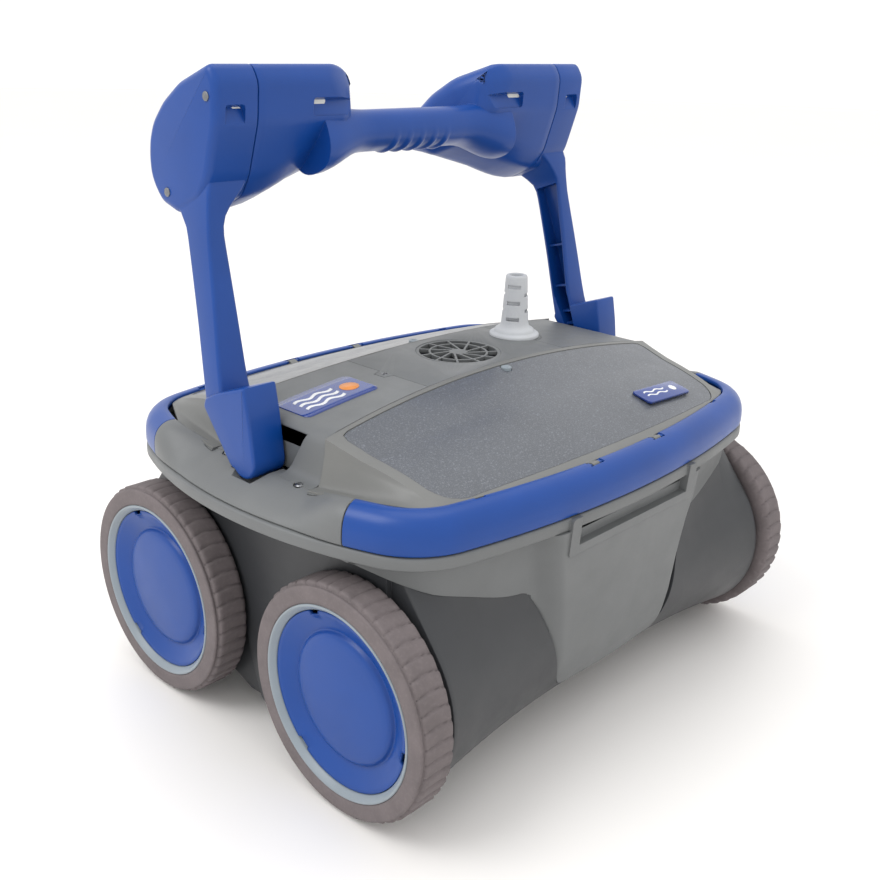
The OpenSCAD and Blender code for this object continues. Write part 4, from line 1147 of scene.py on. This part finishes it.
def on_crown(name, outline, bottom, top):
    """A thin plate that follows the crown, between two heights above it."""
    mid = sum(x for x, y in outline) / len(outline), sum(y for x, y in outline) / len(outline)
    shrunk = lambda k: [(mid[0] + (x - mid[0]) * k, mid[1] + (y - mid[1]) * k) for x, y in outline]
    return loft(name, [[(x, y, crown(x) + h) for x, y in ring] for ring, h in
                       ((outline, bottom), (outline, top - 0.15), (shrunk(0.995), top))])


BADGE_X, PLATE = -130.0, (98.0, -120.0, 219.0)


def make_badges():
    """Generic marks: wave lines and a disc on each plate."""
    edge = [(BADGE_X + x, y) for x, y in rounded_polygon([(-32, -18), (32, -18), (32, 18), (-32, 18)], 4.5,
            6)]
    grid = badge_grid(edge)
    place(grid, "root", "badge_blue", "shoulder_badge", rounding=0)
    lines = [on_crown("wave_line", [(BADGE_X + x, y) for x, y in wave(-24, 9, v, 1.6, 3.0)], 0.3, 0.85)
            for v in (6.5, -0.5, -7.5)]
    place(merge("badge_waves", *lines), "root", "badge_blue", rounding=0, material=MARK_WHITE)
    place(on_crown("badge_sun", [(BADGE_X + x, y) for x, y in disc(19.5, 0, 7.0)], 0.3, 0.85), "root",
            "badge_blue", rounding=0, material=MARK_ORANGE)
    spot = Matrix.Translation(PLATE) @ Euler((radians(14), radians(3), 0)).to_matrix().to_4x4()
    face = local_plate("front_mark_plate", rounded_polygon([(-27, -9), (27, -9), (27, 9), (-27, 9)], 2.6, 5),
            2.0, spot)
    place(face, "front_door", "badge_blue", "front_plate", rounding=0)
    raised = spot @ Matrix.Translation((0, 0, 1.7))
    parts = [local_plate("mark_line", wave(-20, 6, v, 0.9, 1.5), 0.62, raised) for v in (3.2, -1.2)]
    parts += [local_plate("mark_dot", disc(15.5, 0.6, 3.4), 0.62, raised)]
    place(merge("plate_marks", *parts), "front_door", "badge_blue", rounding=0, material=MARK_WHITE)


def badge_grid(edge):
    """Body of the shoulder badge: rows across the crown so its face follows it."""
    xs = sorted({round(x, 3) for x, y in edge} | {round(BADGE_X + k, 3) for k in range(-26, 27, 4)})
    reach = lambda x: 18.0 if abs(x - BADGE_X) <= 27.5 else 13.5 + sqrt(max(0.0,
            4.5 ** 2 - (abs(x - BADGE_X) - 27.5) ** 2))
    rows = lambda h: [[(x, mix(-reach(x), reach(x), j / 6), crown(x) + h) for x in xs] for j in range(7)]
    return sheet_solid("badge_plate", rows(0.6), rows(-1.6))


MARK_WHITE = plastic("mark_white", (0.78, 0.79, 0.8), 0.35, 0.1)
MARK_ORANGE = plastic("mark_orange", (0.75, 0.27, 0.06), 0.35, 0.1)


# ---- Ends of the ridge --------
PLATE_X, POCKET_X, END_T = 75.0, 172.5, 3.0


def ridge_profile():
    """Section of a ridge plate along x: over the crown, round the shoulder and down to the ledge."""
    points = [(x, crown(x)) for x in [PLATE_X + 0.4] + list(range(82, 161, 6)) + [163]]
    points += [(x, crown(x) - fall) for x,
            fall in ((167, 0.35), (170, 1.2), (172.2, 2.6), (173.8, 4.6), (174.7, 7.2))]
    points += [(175.4, 219.0), (176.2, 213.0), (177.2, LEDGE_Z + 6), (178.4, LEDGE_Z + 3.4),
            (180.2, LEDGE_Z + 1.6), (183, LEDGE_Z + 0.6), (187, LEDGE_Z + 0.2)]
    return points


def offset_line(points, d):
    moved = []
    for i, (x, z) in enumerate(points):
        (xa, za), (xb, zb) = points[max(0, i - 1)], points[min(len(points) - 1, i + 1)]
        run = hypot(xb - xa, zb - za)
        moved.append((x + (zb - za) / run * d, z - (xb - xa) / run * d))
    return moved


def make_ridge_side():
    outer = ridge_profile()
    inner = offset_line(outer, END_T)
    spread = lambda line, j: [(x, mix(-1, 1, j / 12) * (ridge_edge(min(x, RIDGE_HALF)) - 0.1), z) for x,
            z in line]
    side = sheet_solid("ridge_side", [spread(outer, j) for j in range(13)],
            [spread(inner, j) for j in range(13)])
    pocket = [(-14, LEDGE_Z - 5), (-42, 252), (-20, 290), (50, 290), (56, 236), (20, LEDGE_Z - 5)]
    carve(side, prism_x("pocket", pocket, POCKET_X, 230))
    web = prism_x("pocket_web", [(-20, LEDGE_Z - 1), (-36, 228.5), (48, 228.5), (26, LEDGE_Z - 1)],
            POCKET_X - END_T, POCKET_X)
    return side, web


def make_ridge_ends():
    side, web = make_ridge_side()
    left = copy_mirrored(side, 0, "ridge_side_left")
    left_web = copy_mirrored(web, 0, "pocket_web_left")
    carve(side, prism_z("boot_room", disc(BOOT[0], BOOT[1], 22.4, 48), 200, 260))
    carve(left, prism_z("screw_room", [(-60, -7.4), (-75.4, -7.4), (-82.4, -5.3), (-82.4, 5.3), (-75.4, 7.4),
            (-60, 7.4)], 200, 260))
    place(merge("ridge_right_shell", side, web), "root", "grey_plastic", "ridge_right", rounding=0.45,
            angle=40)
    place(merge("ridge_left_shell", left, left_web), "root", "grey_plastic", "ridge_left", rounding=0.45,
            angle=40)


# ---- Stage --------
def floor_material():
    g = Graph("floor_white")
    cloud = g.noise(3.0, 3.0)
    g.link(g.ramp(cloud, [(0.3, (0.89, 0.87, 0.85)), (0.7, (0.91, 0.89, 0.87))]),
            g.shader.inputs["Base Color"])
    g.link(g.ramp(cloud, [(0.3, 0.42), (0.7, 0.5)]), g.shader.inputs["Roughness"])
    return g.material


def make_floor():
    bm = bmesh.new()
    bmesh.ops.create_circle(bm, cap_ends=True, radius=9.0, segments=96)
    me = bpy.data.meshes.new("floor")
    bm.to_mesh(me)
    bm.free()
    floor = bpy.data.objects.new("floor", me)
    bpy.context.collection.objects.link(floor)
    paint(floor, floor_material())


def area_light(name, at, target, size, power):
    lamp = bpy.data.lights.new(name, "AREA")
    lamp.shape = "RECTANGLE"
    lamp.size, lamp.size_y = size
    lamp.energy = power
    obj = bpy.data.objects.new(name, lamp)
    bpy.context.collection.objects.link(obj)
    obj.location = at
    obj.rotation_euler = (Vector(target) - Vector(at)).to_track_quat("-Z", "Y").to_euler()


def make_lights():
    world = bpy.data.worlds.new("studio")
    world.use_nodes = True
    background = world.node_tree.nodes["Background"]
    background.inputs["Color"].default_value = (1.0, 1.0, 1.0, 1)
    background.inputs["Strength"].default_value = 1.12
    bpy.context.scene.world = world
    area_light("key", (-1.5, 0.5, 2.1), (0, 0, 0.15), (1.2, 1.2), 20)
    area_light("top", (0.3, 0.2, 2.6), (0, 0, 0.2), (1.6, 1.6), 9)


def make_camera():
    azimuth, elevation, roll = (radians(a) for a in (-46.5731, 20.6096, 1.4656))
    forward = Vector((-sin(azimuth) * cos(elevation), cos(azimuth) * cos(elevation), -sin(elevation)))
    right = forward.cross(Vector((0, 0, 1))).normalized()
    up = right.cross(forward)
    axes = (right * cos(roll) + up * sin(roll), up * cos(roll) - right * sin(roll), -forward)
    data = bpy.data.cameras.new("camera")
    data.lens, data.sensor_width = 43.896, 36
    camera = bpy.data.objects.new("camera", data)
    bpy.context.collection.objects.link(camera)
    camera.matrix_world = Matrix.Translation((-0.58021, -0.53248,
            0.46835)) @ Matrix(axes).transposed().to_4x4()
    bpy.context.scene.camera = camera


make_wheels()
make_bumpers()
make_upper_hull()
make_lower_hull()
make_ridge_ends()
make_door("front")
make_door("rear")
make_boot()
make_screws()
make_badges()
make_handle()

make_floor()
make_lights()
make_camera()
bpy.context.scene.view_settings.view_transform = "Standard"
